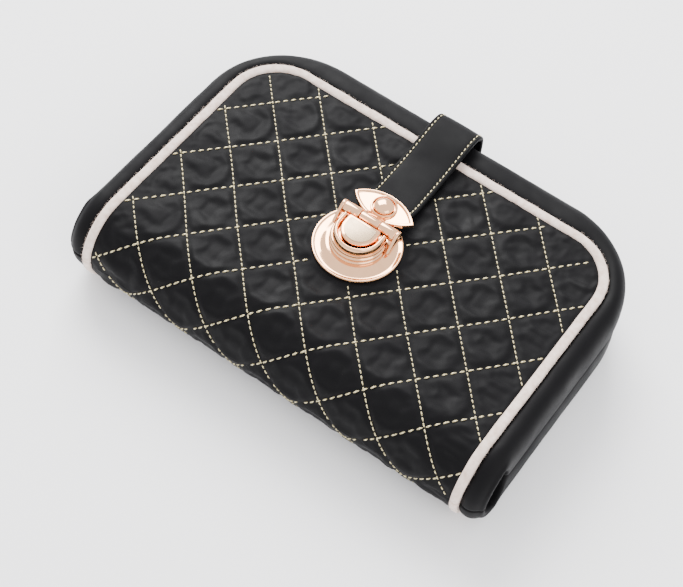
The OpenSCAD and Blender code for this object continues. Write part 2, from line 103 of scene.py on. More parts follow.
def noiseAt(points, size, seed=0.0):
    return np.array([noise.noise(Vector((p[0] / size + seed, p[1] / size, p[2] / size + seed)))
                     for p in points])


def makeMesh(name, points, faces, uv=None, smoothFaces=True):
    mesh = bpy.data.meshes.new(name)
    mesh.from_pydata([tuple(p) for p in points], [], faces)
    if smoothFaces:
        mesh.polygons.foreach_set("use_smooth", [True] * len(mesh.polygons))
    obj = bpy.data.objects.new(name, mesh)
    bpy.context.scene.collection.objects.link(obj)
    if uv is not None:
        layer = mesh.uv_layers.new(name="cloth")
        corner = np.zeros(len(mesh.loops), dtype=np.int32)
        mesh.loops.foreach_get("vertex_index", corner)
        layer.data.foreach_set("uv", np.asarray(uv, float)[corner].ravel())
    mesh.update()
    return obj


def makeActive(obj):
    if bpy.context.object and bpy.context.object.mode != "OBJECT":
        bpy.ops.object.mode_set(mode="OBJECT")
    bpy.ops.object.select_all(action="DESELECT")
    obj.select_set(True)
    bpy.context.view_layer.objects.active = obj


def readPoints(obj):
    points = np.zeros(len(obj.data.vertices) * 3)
    obj.data.vertices.foreach_get("co", points)
    return points.reshape(-1, 3)


def writePoints(obj, points):
    obj.data.vertices.foreach_set("co", points.ravel())
    obj.data.update()


def selectAll():
    bpy.ops.mesh.select_all(action="SELECT")


def faceOutward(obj):
    makeActive(obj)
    bpy.ops.object.mode_set(mode="EDIT")
    selectAll()
    bpy.ops.mesh.normals_make_consistent(inside=False)
    bpy.ops.object.mode_set(mode="OBJECT")


def clearSelection():
    if bpy.context.object and bpy.context.object.mode != "OBJECT":
        bpy.ops.object.mode_set(mode="OBJECT")
    bpy.ops.object.select_all(action="DESELECT")


# Names the primitive just added and goes to edit mode on it
def openPiece(name):
    obj = bpy.context.active_object
    obj.name = obj.data.name = name
    bpy.ops.object.transform_apply(location=True, rotation=True, scale=True)
    bpy.ops.object.mode_set(mode="EDIT")
    return obj


def pick(obj, kind, test):
    bpy.ops.mesh.select_mode(type=kind)
    bpy.ops.mesh.select_all(action="DESELECT")
    mesh = bmesh.from_edit_mesh(obj.data)
    items = {"VERT": mesh.verts, "EDGE": mesh.edges, "FACE": mesh.faces}[kind]
    for item in items:
        if test(item):
            item.select_set(True)
    mesh.select_flush_mode()
    bmesh.update_edit_mesh(obj.data)


def middle(item):
    return sum((v.co for v in item.verts), Vector()) / len(item.verts)


def closePiece(obj, material, angle=35):
    selectAll()
    bpy.ops.mesh.remove_doubles(threshold=0.004 * mm)
    bpy.ops.mesh.normals_make_consistent(inside=False)
    bpy.ops.object.mode_set(mode="OBJECT")
    makeActive(obj)
    bpy.ops.object.shade_smooth_by_angle(angle=math.radians(angle))
    obj.data.materials.clear()
    obj.data.materials.append(material)
    return obj


def addModifier(obj, kind, **settings):
    makeActive(obj)
    modifier = obj.modifiers.new(kind.title(), kind)
    for key, value in settings.items():
        setattr(modifier, key, value)
    bpy.ops.object.modifier_apply(modifier=modifier.name)


def joinPieces(pieces, name):
    clearSelection()
    for piece in pieces:
        piece.select_set(True)
    bpy.context.view_layer.objects.active = pieces[0]
    bpy.ops.object.join()
    pieces[0].name = pieces[0].data.name = name
    return pieces[0]


# shader parts

def put(tree, kind, **values):
    node = tree.nodes.new(kind)
    for key, value in values.items():
        if hasattr(node, key):
            setattr(node, key, value)
        else:
            node.inputs[key.replace("_", " ")].default_value = value
    return node


def join(tree, source, target):
    tree.links.new(source, target)


def makeGroup(name, inputs, outputs):
    group = bpy.data.node_groups.new(name, "ShaderNodeTree")
    for label, value in inputs:
        kind = "NodeSocketVector" if value is None else "NodeSocketFloat"
        socket = group.interface.new_socket(label, in_out="INPUT", socket_type=kind)
        if value is not None:
            socket.default_value = value
    for label in outputs:
        group.interface.new_socket(label, in_out="OUTPUT", socket_type="NodeSocketFloat")
    return group, group.nodes.new("NodeGroupInput"), group.nodes.new("NodeGroupOutput")


# Short brushed fibres: a fine height and a slow change of shade
def makeNapGroup():
    group, start, end = makeGroup("brushed nap", [("Vector", None), ("Fibre", 2600.0), ("Patch", 90.0)],
                                  ["Height", "Shade"])
    fine = put(group, "ShaderNodeTexNoise", Detail=4.0, Roughness=0.7)
    slow = put(group, "ShaderNodeTexNoise", Detail=3.0, Roughness=0.6)
    join(group, start.outputs["Vector"], fine.inputs["Vector"])
    join(group, start.outputs["Vector"], slow.inputs["Vector"])
    join(group, start.outputs["Fibre"], fine.inputs["Scale"])
    join(group, start.outputs["Patch"], slow.inputs["Scale"])
    spread = put(group, "ShaderNodeMapRange", From_Min=0.3, From_Max=0.7)
    join(group, slow.outputs["Fac"], spread.inputs["Value"])
    join(group, fine.outputs["Fac"], end.inputs["Height"])
    join(group, spread.outputs["Result"], end.inputs["Shade"])
    return group


# Two sets of threads that cross; each count is threads per metre
def makeWeaveGroup():
    group, start, end = makeGroup("woven threads",
                                  [("Vector", None), ("Across", 2200.0), ("Along", 2200.0)],
                                  ["Height", "Shade"])
    split = put(group, "ShaderNodeSeparateXYZ")
    join(group, start.outputs["Vector"], split.inputs["Vector"])
    ridges = []
    for axis, count in (("X", "Across"), ("Y", "Along")):
        turns = put(group, "ShaderNodeMath", operation="MULTIPLY")
        join(group, split.outputs[axis], turns.inputs[0])
        join(group, start.outputs[count], turns.inputs[1])
        angle = put(group, "ShaderNodeMath", operation="MULTIPLY")
        angle.inputs[1].default_value = 2 * math.pi
        join(group, turns.outputs[0], angle.inputs[0])
        ridge = put(group, "ShaderNodeMath", operation="SINE")
        join(group, angle.outputs[0], ridge.inputs[0])
        ridges.append(ridge)
    cross = put(group, "ShaderNodeMath", operation="MULTIPLY")
    join(group, ridges[0].outputs[0], cross.inputs[0])
    join(group, ridges[1].outputs[0], cross.inputs[1])
    height = put(group, "ShaderNodeMapRange", From_Min=-1.0, From_Max=1.0)
    join(group, cross.outputs[0], height.inputs["Value"])
    slub = put(group, "ShaderNodeTexNoise", Scale=160.0, Detail=3.0)
    join(group, start.outputs["Vector"], slub.inputs["Vector"])
    join(group, height.outputs["Result"], end.inputs["Height"])
    join(group, slub.outputs["Fac"], end.inputs["Shade"])
    return group


# Handling marks on plated metal: faint smudges and hairlines
def makeWearGroup():
    group, start, end = makeGroup("handling marks",
                                  [("Vector", None), ("Smudge", 120.0), ("Hairline", 900.0)],
                                  ["Smudges", "Hairlines"])
    smudge = put(group, "ShaderNodeTexNoise", Detail=5.0, Roughness=0.65, Distortion=0.6)
    join(group, start.outputs["Vector"], smudge.inputs["Vector"])
    join(group, start.outputs["Smudge"], smudge.inputs["Scale"])
    stretch = put(group, "ShaderNodeVectorMath", operation="MULTIPLY")
    stretch.inputs[1].default_value = (1.0, 0.06, 0.4)
    join(group, start.outputs["Vector"], stretch.inputs[0])
    hair = put(group, "ShaderNodeTexNoise", Detail=6.0, Roughness=0.8)
    join(group, stretch.outputs[0], hair.inputs["Vector"])
    join(group, start.outputs["Hairline"], hair.inputs["Scale"])
    clear = put(group, "ShaderNodeMapRange", From_Min=0.45, From_Max=0.75)
    join(group, smudge.outputs["Fac"], clear.inputs["Value"])
    join(group, clear.outputs["Result"], end.inputs["Smudges"])
    join(group, hair.outputs["Fac"], end.inputs["Hairlines"])
    return group


napGroup = makeNapGroup()
weaveGroup = makeWeaveGroup()
wearGroup = makeWearGroup()


# A material whose plain values sit on the shader's own sockets
def startMaterial(name, **fixed):
    material = bpy.data.materials.new(name)
    material.use_nodes = True
    tree = material.node_tree
    shader = tree.nodes["Principled BSDF"]
    for key, value in fixed.items():
        shader.inputs[key.replace("_", " ")].default_value = value
    coordinates = tree.nodes.new("ShaderNodeTexCoord")
    return material, tree, shader, coordinates


def placeGroup(tree, group, source, **values):
    node = tree.nodes.new("ShaderNodeGroup")
    node.node_tree = group
    join(tree, source, node.inputs["Vector"])
    for key, value in values.items():
        node.inputs[key].default_value = value
    return node


def shadeBetween(tree, mask, dark, light, target):
    ramp = tree.nodes.new("ShaderNodeValToRGB")
    ramp.color_ramp.elements[0].color = (*dark, 1)
    ramp.color_ramp.elements[1].color = (*light, 1)
    join(tree, mask, ramp.inputs["Fac"])
    join(tree, ramp.outputs["Color"], target)


def valueBetween(tree, mask, low, high, target):
    spread = put(tree, "ShaderNodeMapRange", To_Min=low, To_Max=high)
    join(tree, mask, spread.inputs["Value"])
    join(tree, spread.outputs["Result"], target)


def bumpFrom(tree, height, shader, strength, distance, before=None):
    bump = put(tree, "ShaderNodeBump", Strength=strength, Distance=distance)
    join(tree, height, bump.inputs["Height"])
    if before is not None:
        join(tree, before.outputs["Normal"], bump.inputs["Normal"])
    join(tree, bump.outputs["Normal"], shader.inputs["Normal"])
    return bump


# Black microsuede satin: woven ground, brushed face, soft sheen
def makeSatin(name, settings):
    material, tree, shader, coordinates = startMaterial(
        name, Sheen_Weight=settings["sheen"], Sheen_Roughness=0.45, Specular_IOR_Level=settings["gloss"],
        Sheen_Tint=(0.55, 0.55, 0.62, 1))
    weave = placeGroup(tree, weaveGroup, coordinates.outputs["UV"], Across=settings["threads"],
                       Along=settings["threads"])
    nap = placeGroup(tree, napGroup, coordinates.outputs["Object"], Fibre=3200.0, Patch=55.0)
    shadeBetween(tree, nap.outputs["Shade"], settings["dark"], settings["light"],
                 shader.inputs["Base Color"])
    valueBetween(tree, nap.outputs["Shade"], settings["rough"][0], settings["rough"][1],
                 shader.inputs["Roughness"])
    first = bumpFrom(tree, weave.outputs["Height"], shader, 0.25, 0.05 * mm)
    bumpFrom(tree, nap.outputs["Height"], shader, 0.3, 0.06 * mm, first)
    return material


satin = {"sheen": 0.012, "gloss": 0.10, "threads": 2400.0, "dark": (0.0008, 0.0007, 0.0010),
         "light": (0.0018, 0.0016, 0.0021), "rough": (0.50, 0.68)}
strapSatin = dict(satin, sheen=0.008, threads=2800.0, dark=(0.0006, 0.0006, 0.0008))
satinMaterial = makeSatin("black satin", satin)
strapMaterial = makeSatin("strap satin", strapSatin)


def makeSuede(name, settings):
    material, tree, shader, coordinates = startMaterial(
        name, Sheen_Weight=0.35, Sheen_Roughness=0.5, Specular_IOR_Level=0.2)
    nap = placeGroup(tree, napGroup, coordinates.outputs["Object"], Fibre=settings["fibre"],
                     Patch=settings["patch"])
    shadeBetween(tree, nap.outputs["Shade"], settings["dark"], settings["light"],
                 shader.inputs["Base Color"])
    valueBetween(tree, nap.outputs["Height"], 0.8, 0.98, shader.inputs["Roughness"])
    bumpFrom(tree, nap.outputs["Height"], shader, settings["bump"], 0.12 * mm)
    return material


suede = {"fibre": 1900.0, "patch": 420.0, "dark": (0.60, 0.455, 0.375), "light": (0.83, 0.70, 0.61),
         "bump": 0.55}
liningSuede = {"fibre": 2600.0, "patch": 60.0, "dark": (0.50, 0.385, 0.30), "light": (0.64, 0.51, 0.41),
               "bump": 0.35}
suedeMaterial = makeSuede("piping suede", suede)
liningMaterial = makeSuede("beige lining", liningSuede)


# Pale gold machine thread, two plies twisted together, with painted shade in the grooves between the plies
# and a painted highlight on their ridges
def makeThread(name):
    material, tree, shader, coordinates = startMaterial(
        name, Metallic=0.35, Sheen_Weight=0.2, Specular_IOR_Level=0.6)
    plies = placeGroup(tree, weaveGroup, coordinates.outputs["UV"], Across=3.0, Along=1.0)
    # painted shade and highlight: the ply height sets the colour, dark olive in the grooves and pale cream
    # on the ridges
    shadeBetween(tree, plies.outputs["Height"], (0.22, 0.17, 0.06), (0.88, 0.78, 0.46),
                 shader.inputs["Base Color"])
    valueBetween(tree, plies.outputs["Height"], 0.5, 0.3, shader.inputs["Roughness"])
    bumpFrom(tree, plies.outputs["Height"], shader, 0.4, 0.05 * mm)
    return material


threadMaterial = makeThread("gold thread")


# Plated metal with handling marks; brushed where settings say so
def makePlated(name, settings):
    material, tree, shader, coordinates = startMaterial(
        name, Metallic=1.0, Coat_Weight=settings["coat"], Coat_Roughness=0.06, Specular_IOR_Level=0.5)
    marks = placeGroup(tree, wearGroup, coordinates.outputs["Object"], Smudge=settings["smudge"],
                       Hairline=settings["hairline"])
    shadeBetween(tree, marks.outputs["Smudges"], settings["clean"], settings["dull"],
                 shader.inputs["Base Color"])
    valueBetween(tree, marks.outputs["Smudges"], settings["rough"][0], settings["rough"][1],
                 shader.inputs["Roughness"])
    bumpFrom(tree, marks.outputs["Hairlines"], shader, settings["bump"], 0.02 * mm)
    return material


roseGold = {"coat": 0.2, "smudge": 140.0, "hairline": 700.0, "clean": (0.86, 0.49, 0.27),
            "dull": (0.78, 0.42, 0.22), "rough": (0.08, 0.18), "bump": 0.05}
brushedGold = {"coat": 0.0, "smudge": 200.0, "hairline": 5200.0, "clean": (0.50, 0.37, 0.235),
               "dull": (0.46, 0.335, 0.21), "rough": (0.34, 0.42), "bump": 0.6}
steel = {"coat": 0.0, "smudge": 140.0, "hairline": 1500.0, "clean": (0.60, 0.61, 0.63),
         "dull": (0.50, 0.51, 0.53), "rough": (0.28, 0.42), "bump": 0.3}
goldMaterial = makePlated("rose gold", roseGold)
brushedMaterial = makePlated("brushed gold", brushedGold)
steelMaterial = makePlated("steel", steel)


# Coarse woven tape or ribbed elastic, with painted shade in the weave's hollows and lighter raised threads
def makeTape(name, across, along, dark, light):
    material, tree, shader, coordinates = startMaterial(name, Sheen_Weight=0.2, Specular_IOR_Level=0.25)
    weave = placeGroup(tree, weaveGroup, coordinates.outputs["Object"], Across=across, Along=along)
    # painted shade: the weave's height sets the colour, darkest in its hollows
    shadeBetween(tree, weave.outputs["Height"], dark, light, shader.inputs["Base Color"])
    valueBetween(tree, weave.outputs["Shade"], 0.65, 0.9, shader.inputs["Roughness"])
    bumpFrom(tree, weave.outputs["Height"], shader, 0.6, 0.15 * mm)
    return material


# for each, the first colour is the painted shade in the weave's hollows and the second its raised threads
elasticMaterial = makeTape("ribbed elastic", 900.0, 300.0, (0.006, 0.006, 0.007), (0.03, 0.029, 0.032))
tapeMaterial = makeTape("zip tape", 1000.0, 1000.0, (0.008, 0.008, 0.009), (0.035, 0.034, 0.037))


def makeCard(name):
    material, tree, shader, coordinates = startMaterial(name, Specular_IOR_Level=0.3)
    pulp = placeGroup(tree, napGroup, coordinates.outputs["Object"], Fibre=1400.0, Patch=150.0)
    shadeBetween(tree, pulp.outputs["Shade"], (0.26, 0.20, 0.14), (0.36, 0.29, 0.21),
                 shader.inputs["Base Color"])
    valueBetween(tree, pulp.outputs["Height"], 0.8, 0.95, shader.inputs["Roughness"])
    bumpFrom(tree, pulp.outputs["Height"], shader, 0.4, 0.1 * mm)
    return material


cardMaterial = makeCard("grey board")
print("materials made")


# outlines of the covers, drawn on the unrolled shell

# True where a point lies on the front half's plan, or its copy on the back
def insideCover(x, s, half, top, radius, grow=0.0):
    s = np.where(s < seamS, 2 * seamS - s, s)
    half, top, radius = half + grow, top + grow, radius + grow
    cornerX, cornerS = half - radius, top - radius
    dx, ds = np.abs(x) - cornerX, s - cornerS
    rounded = (dx > 0) & (ds > 0) & (dx * dx + ds * ds > radius * radius)
    return (np.abs(x) <= half) & (s <= top) & ~rounded


# Points from the spine's middle up the +X side, across the top and down again
def halfOutline(half, top, radius, counts):
    sideCount, arcCount, topCount = counts
    cornerX, cornerS = half - radius, top - radius
    points = []
    for i in range(sideCount):
        points.append((half, seamS + (cornerS - seamS) * i / sideCount))
    for i in range(arcCount):
        angle = math.pi / 2 * i / arcCount
        points.append((cornerX + radius * math.cos(angle), cornerS + radius * math.sin(angle)))
    for i in range(topCount):
        points.append((cornerX - 2 * cornerX * i / topCount, top))
    for i in range(arcCount):
        angle = math.pi / 2 * (1 + i / arcCount)
        points.append((-cornerX + radius * math.cos(angle), cornerS + radius * math.sin(angle)))
    for i in range(sideCount + 1):
        points.append((-half, cornerS + (seamS - cornerS) * i / sideCount))
    return np.array(points)


outlineCounts = (96, 30, 84)


# Front pieces stay; back pieces are the copy past the spine's middle
def onSide(points, side):
    if side == "back":
        points = points.copy()
        points[:, 1] = 2 * seamS - points[:, 1]
    return points


strapHollow = {"half": 9.7 * mm, "start": caseTop - 21.4 * mm, "depth": 2.12 * mm, "soft": 1.3 * mm}


# The back cover gives way where the strap's end is sewn on
def pressUnderStrap(points):
    hollow = strapHollow
    across = 1 - smooth(hollow["half"], hollow["half"] + hollow["soft"], np.abs(points[:, 0]))
    along = smooth(hollow["start"] - hollow["soft"], hollow["start"], points[:, 1])
    floor = hollow["depth"] * across * along
    out = points.copy()
    low = points[:, 2] < 4.6 * mm
    out[low, 2] = np.maximum(points[low, 2], floor[low])
    return out


# The padding is squeezed level under the lock's disc
def pressUnderDisc(points):
    away = np.hypot(points[:, 0] - lockX, points[:, 1] - lockY)
    w = 1 - smooth(discR - 0.2 * mm, discR + 2.4 * mm, away)
    w = np.where(points[:, 1] > seamS, w, 0)
    out = points.copy()
    out[:, 2] = points[:, 2] * (1 - w) + (lockZ - 0.12 * mm) * w
    return out


# quilted pads: one sheet is sewn down along the stitch lines and blown up
quilting = {
    "diamondX": 24.5 * mm, "diamondS": 27.2 * mm,      # one diamond, across and along
    "originX": -2.0 * mm, "originS": lockY - 19.3 * mm,  # middle of one diamond
    "cells": 20,                                       # mesh cells in a diamond, an even number
    "sewnDepth": 1.25 * mm, "puff": 1.2 * mm, "tuck": 1.5 * mm, "padDepth": 4.9 * mm,
    "drift": 0.45 * mm, "driftSize": 34 * mm,
    "frames": 16, "pressure": 3.0, "extraCloth": -0.035,
}


# Stitch lines wander a little, as sewn by hand along a rule
def driftLines(points):
    q = quilting
    out = points.copy()
    out[:, 0] += q["drift"] * noiseAt(points, q["driftSize"], 3.1)
    out[:, 1] += q["drift"] * noiseAt(points, q["driftSize"], 17.7)
    return out


def makeQuiltSheet():
    q = quilting
    stepX, stepS = q["diamondX"] / q["cells"], q["diamondS"] / q["cells"]
    top, low = quiltTop + 2 * mm, 2 * seamS - quiltTop - 2 * mm
    columns = range(math.floor((-quiltHalf - 2 * mm - q["originX"]) / stepX),
                    math.ceil((quiltHalf + 2 * mm - q["originX"]) / stepX) + 1)
    rows = range(math.floor((low - q["originS"]) / stepS), math.ceil((top - q["originS"]) / stepS) + 1)
    i, j = np.meshgrid(np.array(columns), np.array(rows))
    i, j = i.ravel(), j.ravel()
    points = np.stack([q["originX"] + i * stepX, q["originS"] + j * stepS,
                       np.full(len(i), faceZ - q["sewnDepth"])], 1)
    half = q["cells"] // 2
    sewn = ((i + j - half) % q["cells"] == 0) | ((i - j - half) % q["cells"] == 0)
    edge = ~insideCover(points[:, 0], points[:, 1], quiltHalf, quiltTop, quiltR, -0.3 * mm)
    w = len(columns)
    faces = [(r * w + c, r * w + c + 1, (r + 1) * w + c + 1, (r + 1) * w + c)
             for r in range(len(rows) - 1) for c in range(w - 1)]
    sheet = makeMesh("quiltSheet", points, faces)
    pins = sheet.vertex_groups.new(name="sewn")
    pins.add([int(n) for n in np.flatnonzero(sewn | edge)], 1.0, "REPLACE")
    return sheet, points, sewn | edge


# Cloth simulation of the padding between the stitch lines
def blowUp(sheet, points, held):
    q = quilting
    makeActive(sheet)
    cloth = sheet.modifiers.new("Cloth", "CLOTH")
    cloth.settings.quality = 4
    cloth.settings.mass = 0.25
    cloth.settings.tension_stiffness = 12
    cloth.settings.compression_stiffness = 12
    cloth.settings.shear_stiffness = 4
    cloth.settings.bending_stiffness = 0.08
    cloth.settings.vertex_group_mass = "sewn"
    cloth.settings.use_pressure = True
    cloth.settings.uniform_pressure_force = q["pressure"]
    cloth.settings.shrink_min = q["extraCloth"]
    cloth.settings.effector_weights.gravity = 0
    cloth.collision_settings.use_collision = False
    cloth.collision_settings.use_self_collision = False
    scene = bpy.context.scene
    scene.frame_start, scene.frame_end = 1, q["frames"]
    cloth.point_cache.frame_start, cloth.point_cache.frame_end = 1, q["frames"]
    for step in range(1, q["frames"] + 1):
        scene.frame_set(step)
    bpy.ops.object.modifier_apply(modifier=cloth.name)
    result = readPoints(sheet)
    rise = np.abs(result[:, 2] - points[:, 2])
    rise *= q["puff"] / np.percentile(rise[~held], 99)
    result[:, 2] = points[:, 2] + np.minimum(rise, q["puff"] * 1.04)
    shift = np.clip(result[:, :2] - points[:, :2], -0.4 * mm, 0.4 * mm)
    result[:, :2] = points[:, :2] + shift
    scene.frame_set(1)
    return result


# Small gathers that run off the stitch lines
def puckerSeams(points):
    out = points.copy()
    near = 1 - np.clip((points[:, 2] - (faceZ - quilting["sewnDepth"])) / quilting["puff"], 0, 1)
    out[:, 2] += 0.14 * mm * noiseAt(points, 2.6 * mm, 5.0) * near * (1 - near) * 4
    out[:, 2] += 0.10 * mm * noiseAt(points, 11 * mm, 9.0)
    return out


def makeQuiltHalves():
    sheet, points, held = makeQuiltSheet()
    shape = blowUp(sheet, points, held)
    fixed = shape.copy()
    fixed[held] = points[held]
    writePoints(sheet, fixed)
    addModifier(sheet, "SUBSURF", levels=1, render_levels=1)
    writePoints(sheet, pressUnderDisc(driftLines(puckerSeams(readPoints(sheet)))))
    halves = {}
    for side in ("front", "back"):
        halves[side] = trimQuilt(sheet, side)
    bpy.data.objects.remove(sheet)
    return halves


# One cover's share of the sheet, closed underneath and rolled round the spine
def trimQuilt(sheet, side):
    q = quilting
    obj = sheet.copy()
    obj.data = sheet.data.copy()
    obj.name = obj.data.name = side + "Quilt"
    obj.vertex_groups.clear()
    bpy.context.scene.collection.objects.link(obj)
    mesh = bmesh.new()
    mesh.from_mesh(obj.data)
    sign = 1 if side == "front" else -1
    bmesh.ops.bisect_plane(mesh, geom=mesh.verts[:] + mesh.edges[:] + mesh.faces[:], dist=1e-7,
                           plane_co=(0, seamS, 0), plane_no=(0, -sign, 0), clear_outer=True)
    centres = np.array([f.calc_center_median() for f in mesh.faces])
    keep = insideCover(centres[:, 0], centres[:, 1], quiltHalf, quiltTop, quiltR, q["tuck"])
    drop = [f for f, k in zip(mesh.faces[:], keep) if not k]
    bmesh.ops.delete(mesh, geom=drop, context="FACES")
    rim = [e for e in mesh.edges if e.is_boundary]
    skirt = bmesh.ops.extrude_edge_only(mesh, edges=rim)
    lower = [e for e in skirt["geom"] if isinstance(e, bmesh.types.BMVert)]
    for v in lower:
        v.co.z = faceZ - q["padDepth"]
    rim = [e for e in mesh.edges if e.is_boundary]
    bottom = bmesh.ops.edgenet_fill(mesh, edges=rim)["faces"]
    for step in range(0, 13):
        where = seamS + sign * (spineY - seamS) * step / 12
        geom = bottom + [e for f in bottom for e in f.edges] + [v for f in bottom for v in f.verts]
        bmesh.ops.bisect_plane(mesh, geom=list(set(geom)), dist=1e-7, plane_co=(0, where, 0),
                               plane_no=(0, 1, 0))
        bottom = [f for f in mesh.faces if len(f.verts) > 4 or f in bottom]
    bmesh.ops.recalc_face_normals(mesh, faces=mesh.faces)
    layer = mesh.loops.layers.uv.new("cloth")
    for face in mesh.faces:
        face.smooth = True
        for loop in face.loops:
            loop[layer].uv = (loop.vert.co.x, loop.vert.co.y)
    mesh.to_mesh(obj.data)
    mesh.free()
    points = wrapSpine(readPoints(obj))
    if side == "back":
        points = pressUnderStrap(points)
    writePoints(obj, points)
    obj.data.materials.append(satinMaterial)
    return obj


quiltHalves = makeQuiltHalves()
print("quilted pads made")


# stitches: one grain of thread, repeated along every line
stitching = {
    "bold": {"pitch": 3.15 * mm, "length": 2.45 * mm, "width": 0.66 * mm, "slant": 0.10},
    "fine": {"pitch": 2.12 * mm, "length": 1.78 * mm, "width": 0.56 * mm, "slant": 0.06},
    "strap": {"pitch": 2.05 * mm, "length": 1.62 * mm, "width": 0.50 * mm, "slant": 0.08},
    "rings": 6, "sides": 6,
}


# Points and faces of one stitch along X, thick at one end
def makeGrain(kind):
    g = stitching[kind]
    rings, sides = stitching["rings"], stitching["sides"]
    points, uv, faces = [(-g["length"] / 2, 0, -0.1 * mm)], [(0, 0)], []
    for r in range(1, rings):
        t = r / rings
        x = (t - 0.5) * g["length"]
        radius = g["width"] / 2 * math.sin(math.pi * t ** 0.85) ** 0.6
        lift = 0.16 * mm * math.sin(math.pi * t)
        for k in range(sides):
            a = 2 * math.pi * k / sides
            points.append((x, radius * math.cos(a), lift + radius * 0.85 * math.sin(a)))
            uv.append((t + k / sides * 0.7, k / sides + t))
    points.append((g["length"] / 2, 0, -0.1 * mm))
    uv.append((1, 1))
    last = len(points) - 1
    for k in range(sides):
        n = (k + 1) % sides
        faces.append((0, 1 + n, 1 + k))
        for r in range(rings - 2):
            a, b = 1 + r * sides, 1 + (r + 1) * sides
            faces.append((a + k, a + n, b + n, b + k))
        faces.append((1 + (rings - 2) * sides + k, 1 + (rings - 2) * sides + n, last))
    return np.array(points), np.array(uv), faces


# places holds (middle, forward, up) of each stitch, all in metres
def sewGrains(name, kind, places):
    grain, grainUv, grainFaces = makeGrain(kind)
    slant = stitching[kind]["slant"]
    points, uvs, faces = [], [], []
    for middlePoint, forward, up in places:
        side = np.cross(up, forward)
        turn = slant + random.uniform(-0.05, 0.05)
        f = forward * math.cos(turn) + side * math.sin(turn)
        w = np.cross(up, f)
        size = random.uniform(0.93, 1.06)
        base = len(points) * len(grain)
        points.append(middlePoint + grain[:, :1] * f * size + grain[:, 1:2] * w + grain[:, 2:3] * up)
        uvs.append(grainUv + random.random())
        faces += [tuple(base + n for n in face) for face in grainFaces]
    obj = makeMesh(name, np.concatenate(points), faces, np.concatenate(uvs))
    obj.data.materials.append(threadMaterial)
    return obj


# Bold stitches follow lines of constant u - v, fine ones constant u + v
def quiltLinePlaces(kind, side):
    q = quilting
    sign = 1 if kind == "bold" else -1
    along = np.array([q["diamondX"], sign * q["diamondS"]])
    size = float(np.hypot(*along))
    pitch = stitching[kind]["pitch"]
    flat = []
    for n in range(-14, 15):
        offset = n + 0.5
        count = int(24 * size / pitch)
        for c in range(count):
            u = -12 + c * pitch / size
            v = sign * (u - offset)
            flat.append((q["originX"] + u * q["diamondX"], q["originS"] + v * q["diamondS"]))
    flat = np.array(flat)
    inside = insideCover(flat[:, 0], flat[:, 1], quiltHalf, quiltTop, quiltR, -0.6 * mm)
    inside &= (flat[:, 1] > seamS + 0.8 * mm) if side == "front" else (flat[:, 1] < seamS - 0.8 * mm)
    flat = flat[inside]
    away = np.hypot(flat[:, 0] - lockX, flat[:, 1] - lockY)
    flat = flat[away > discR + 0.3 * mm]
    caseY = np.where(flat[:, 1] < seamS, 2 * seamS - flat[:, 1], flat[:, 1])
    start = lockY if side == "front" else strapHollow["start"] - 2 * mm
    flat = flat[~((np.abs(flat[:, 0]) < 10.2 * mm) & (caseY > start))]
    base = np.column_stack([flat, np.full(len(flat), faceZ - q["sewnDepth"] + 0.16 * mm)])
    ahead = base.copy()
    ahead[:, :2] += along / size * 0.5 * mm
    above = base + np.array([0, 0, 0.5 * mm])
    if side == "front":
        base, ahead = pressUnderDisc(base), pressUnderDisc(ahead)
    base, ahead = driftLines(base), driftLines(ahead)
    above[:, :2] = base[:, :2]
    above[:, 2] = base[:, 2] + 0.5 * mm
    base, ahead, above = wrapSpine(base), wrapSpine(ahead), wrapSpine(above)
    places = []
    for b, a, t in zip(base, ahead, above):
        up = (t - b) / np.linalg.norm(t - b)
        forward = (a - b) - up * np.dot(a - b, up)
        places.append((b, forward / np.linalg.norm(forward), up))
    return places


quiltStitches = {}
for side in ("front", "back"):
    for kind in ("bold", "fine"):
        quiltStitches[side, kind] = sewGrains(side + kind.title() + "Stitches", kind,
                                              quiltLinePlaces(kind, side))
print("quilting stitched")


# swept edges: piping and padded border
# profile holds (share of the way out, depth below the outer face)
def sweepEdge(name, inner, outer, profile, side, shape, material):
    count, ring = len(inner), len(profile)
    share = np.array([p[0] for p in profile])
    depth = np.array([p[1] for p in profile]) * mm
    grow = outer - inner
    xs = inner[:, None, 0] + grow[:, None, 0] * share[None, :]
    ss = inner[:, None, 1] + grow[:, None, 1] * share[None, :]
    flat = np.stack([xs, ss, np.broadcast_to(faceZ - depth[None, :], xs.shape)], 2)
    out = grow / np.linalg.norm(grow, axis=1)[:, None]
    flat = shape(flat, out, share, depth)
    length = np.concatenate([[0], np.cumsum(np.linalg.norm(np.diff(outer, axis=0), axis=1))])
    girth = np.concatenate([[0], np.cumsum(np.hypot(np.diff(share) * 8 * mm, np.diff(depth)))])
    uv = np.stack(np.broadcast_arrays(length[:, None], girth[None, :]), 2).reshape(-1, 2)
    points = wrapSpine(onSide(flat.reshape(-1, 3), side))
    if side == "back":
        points = pressUnderStrap(points)
    faces = [tuple(range(ring)), tuple((count - 1) * ring + r for r in reversed(range(ring)))]
    for c in range(count - 1):
        for r in range(ring):
            n = (r + 1) % ring
            faces.append((c * ring + r, (c + 1) * ring + r, (c + 1) * ring + n, c * ring + n))
    obj = makeMesh(name, points, faces, uv)
    faceOutward(obj)
    obj.data.materials.append(material)
    return obj


pipingShape = {
    # a flat folded strip, fuller towards its outer edge
    "profile": [(0.02, 2.6), (0.0, 1.5), (0.03, 0.85), (0.12, 0.45), (0.3, 0.18), (0.52, 0.08),
                (0.74, 0.12), (0.9, 0.38), (0.98, 0.85), (1.0, 1.5), (0.96, 2.6)],
    "outerFray": 0.16 * mm, "innerFray": 0.07 * mm, "roll": 0.12 * mm,
}


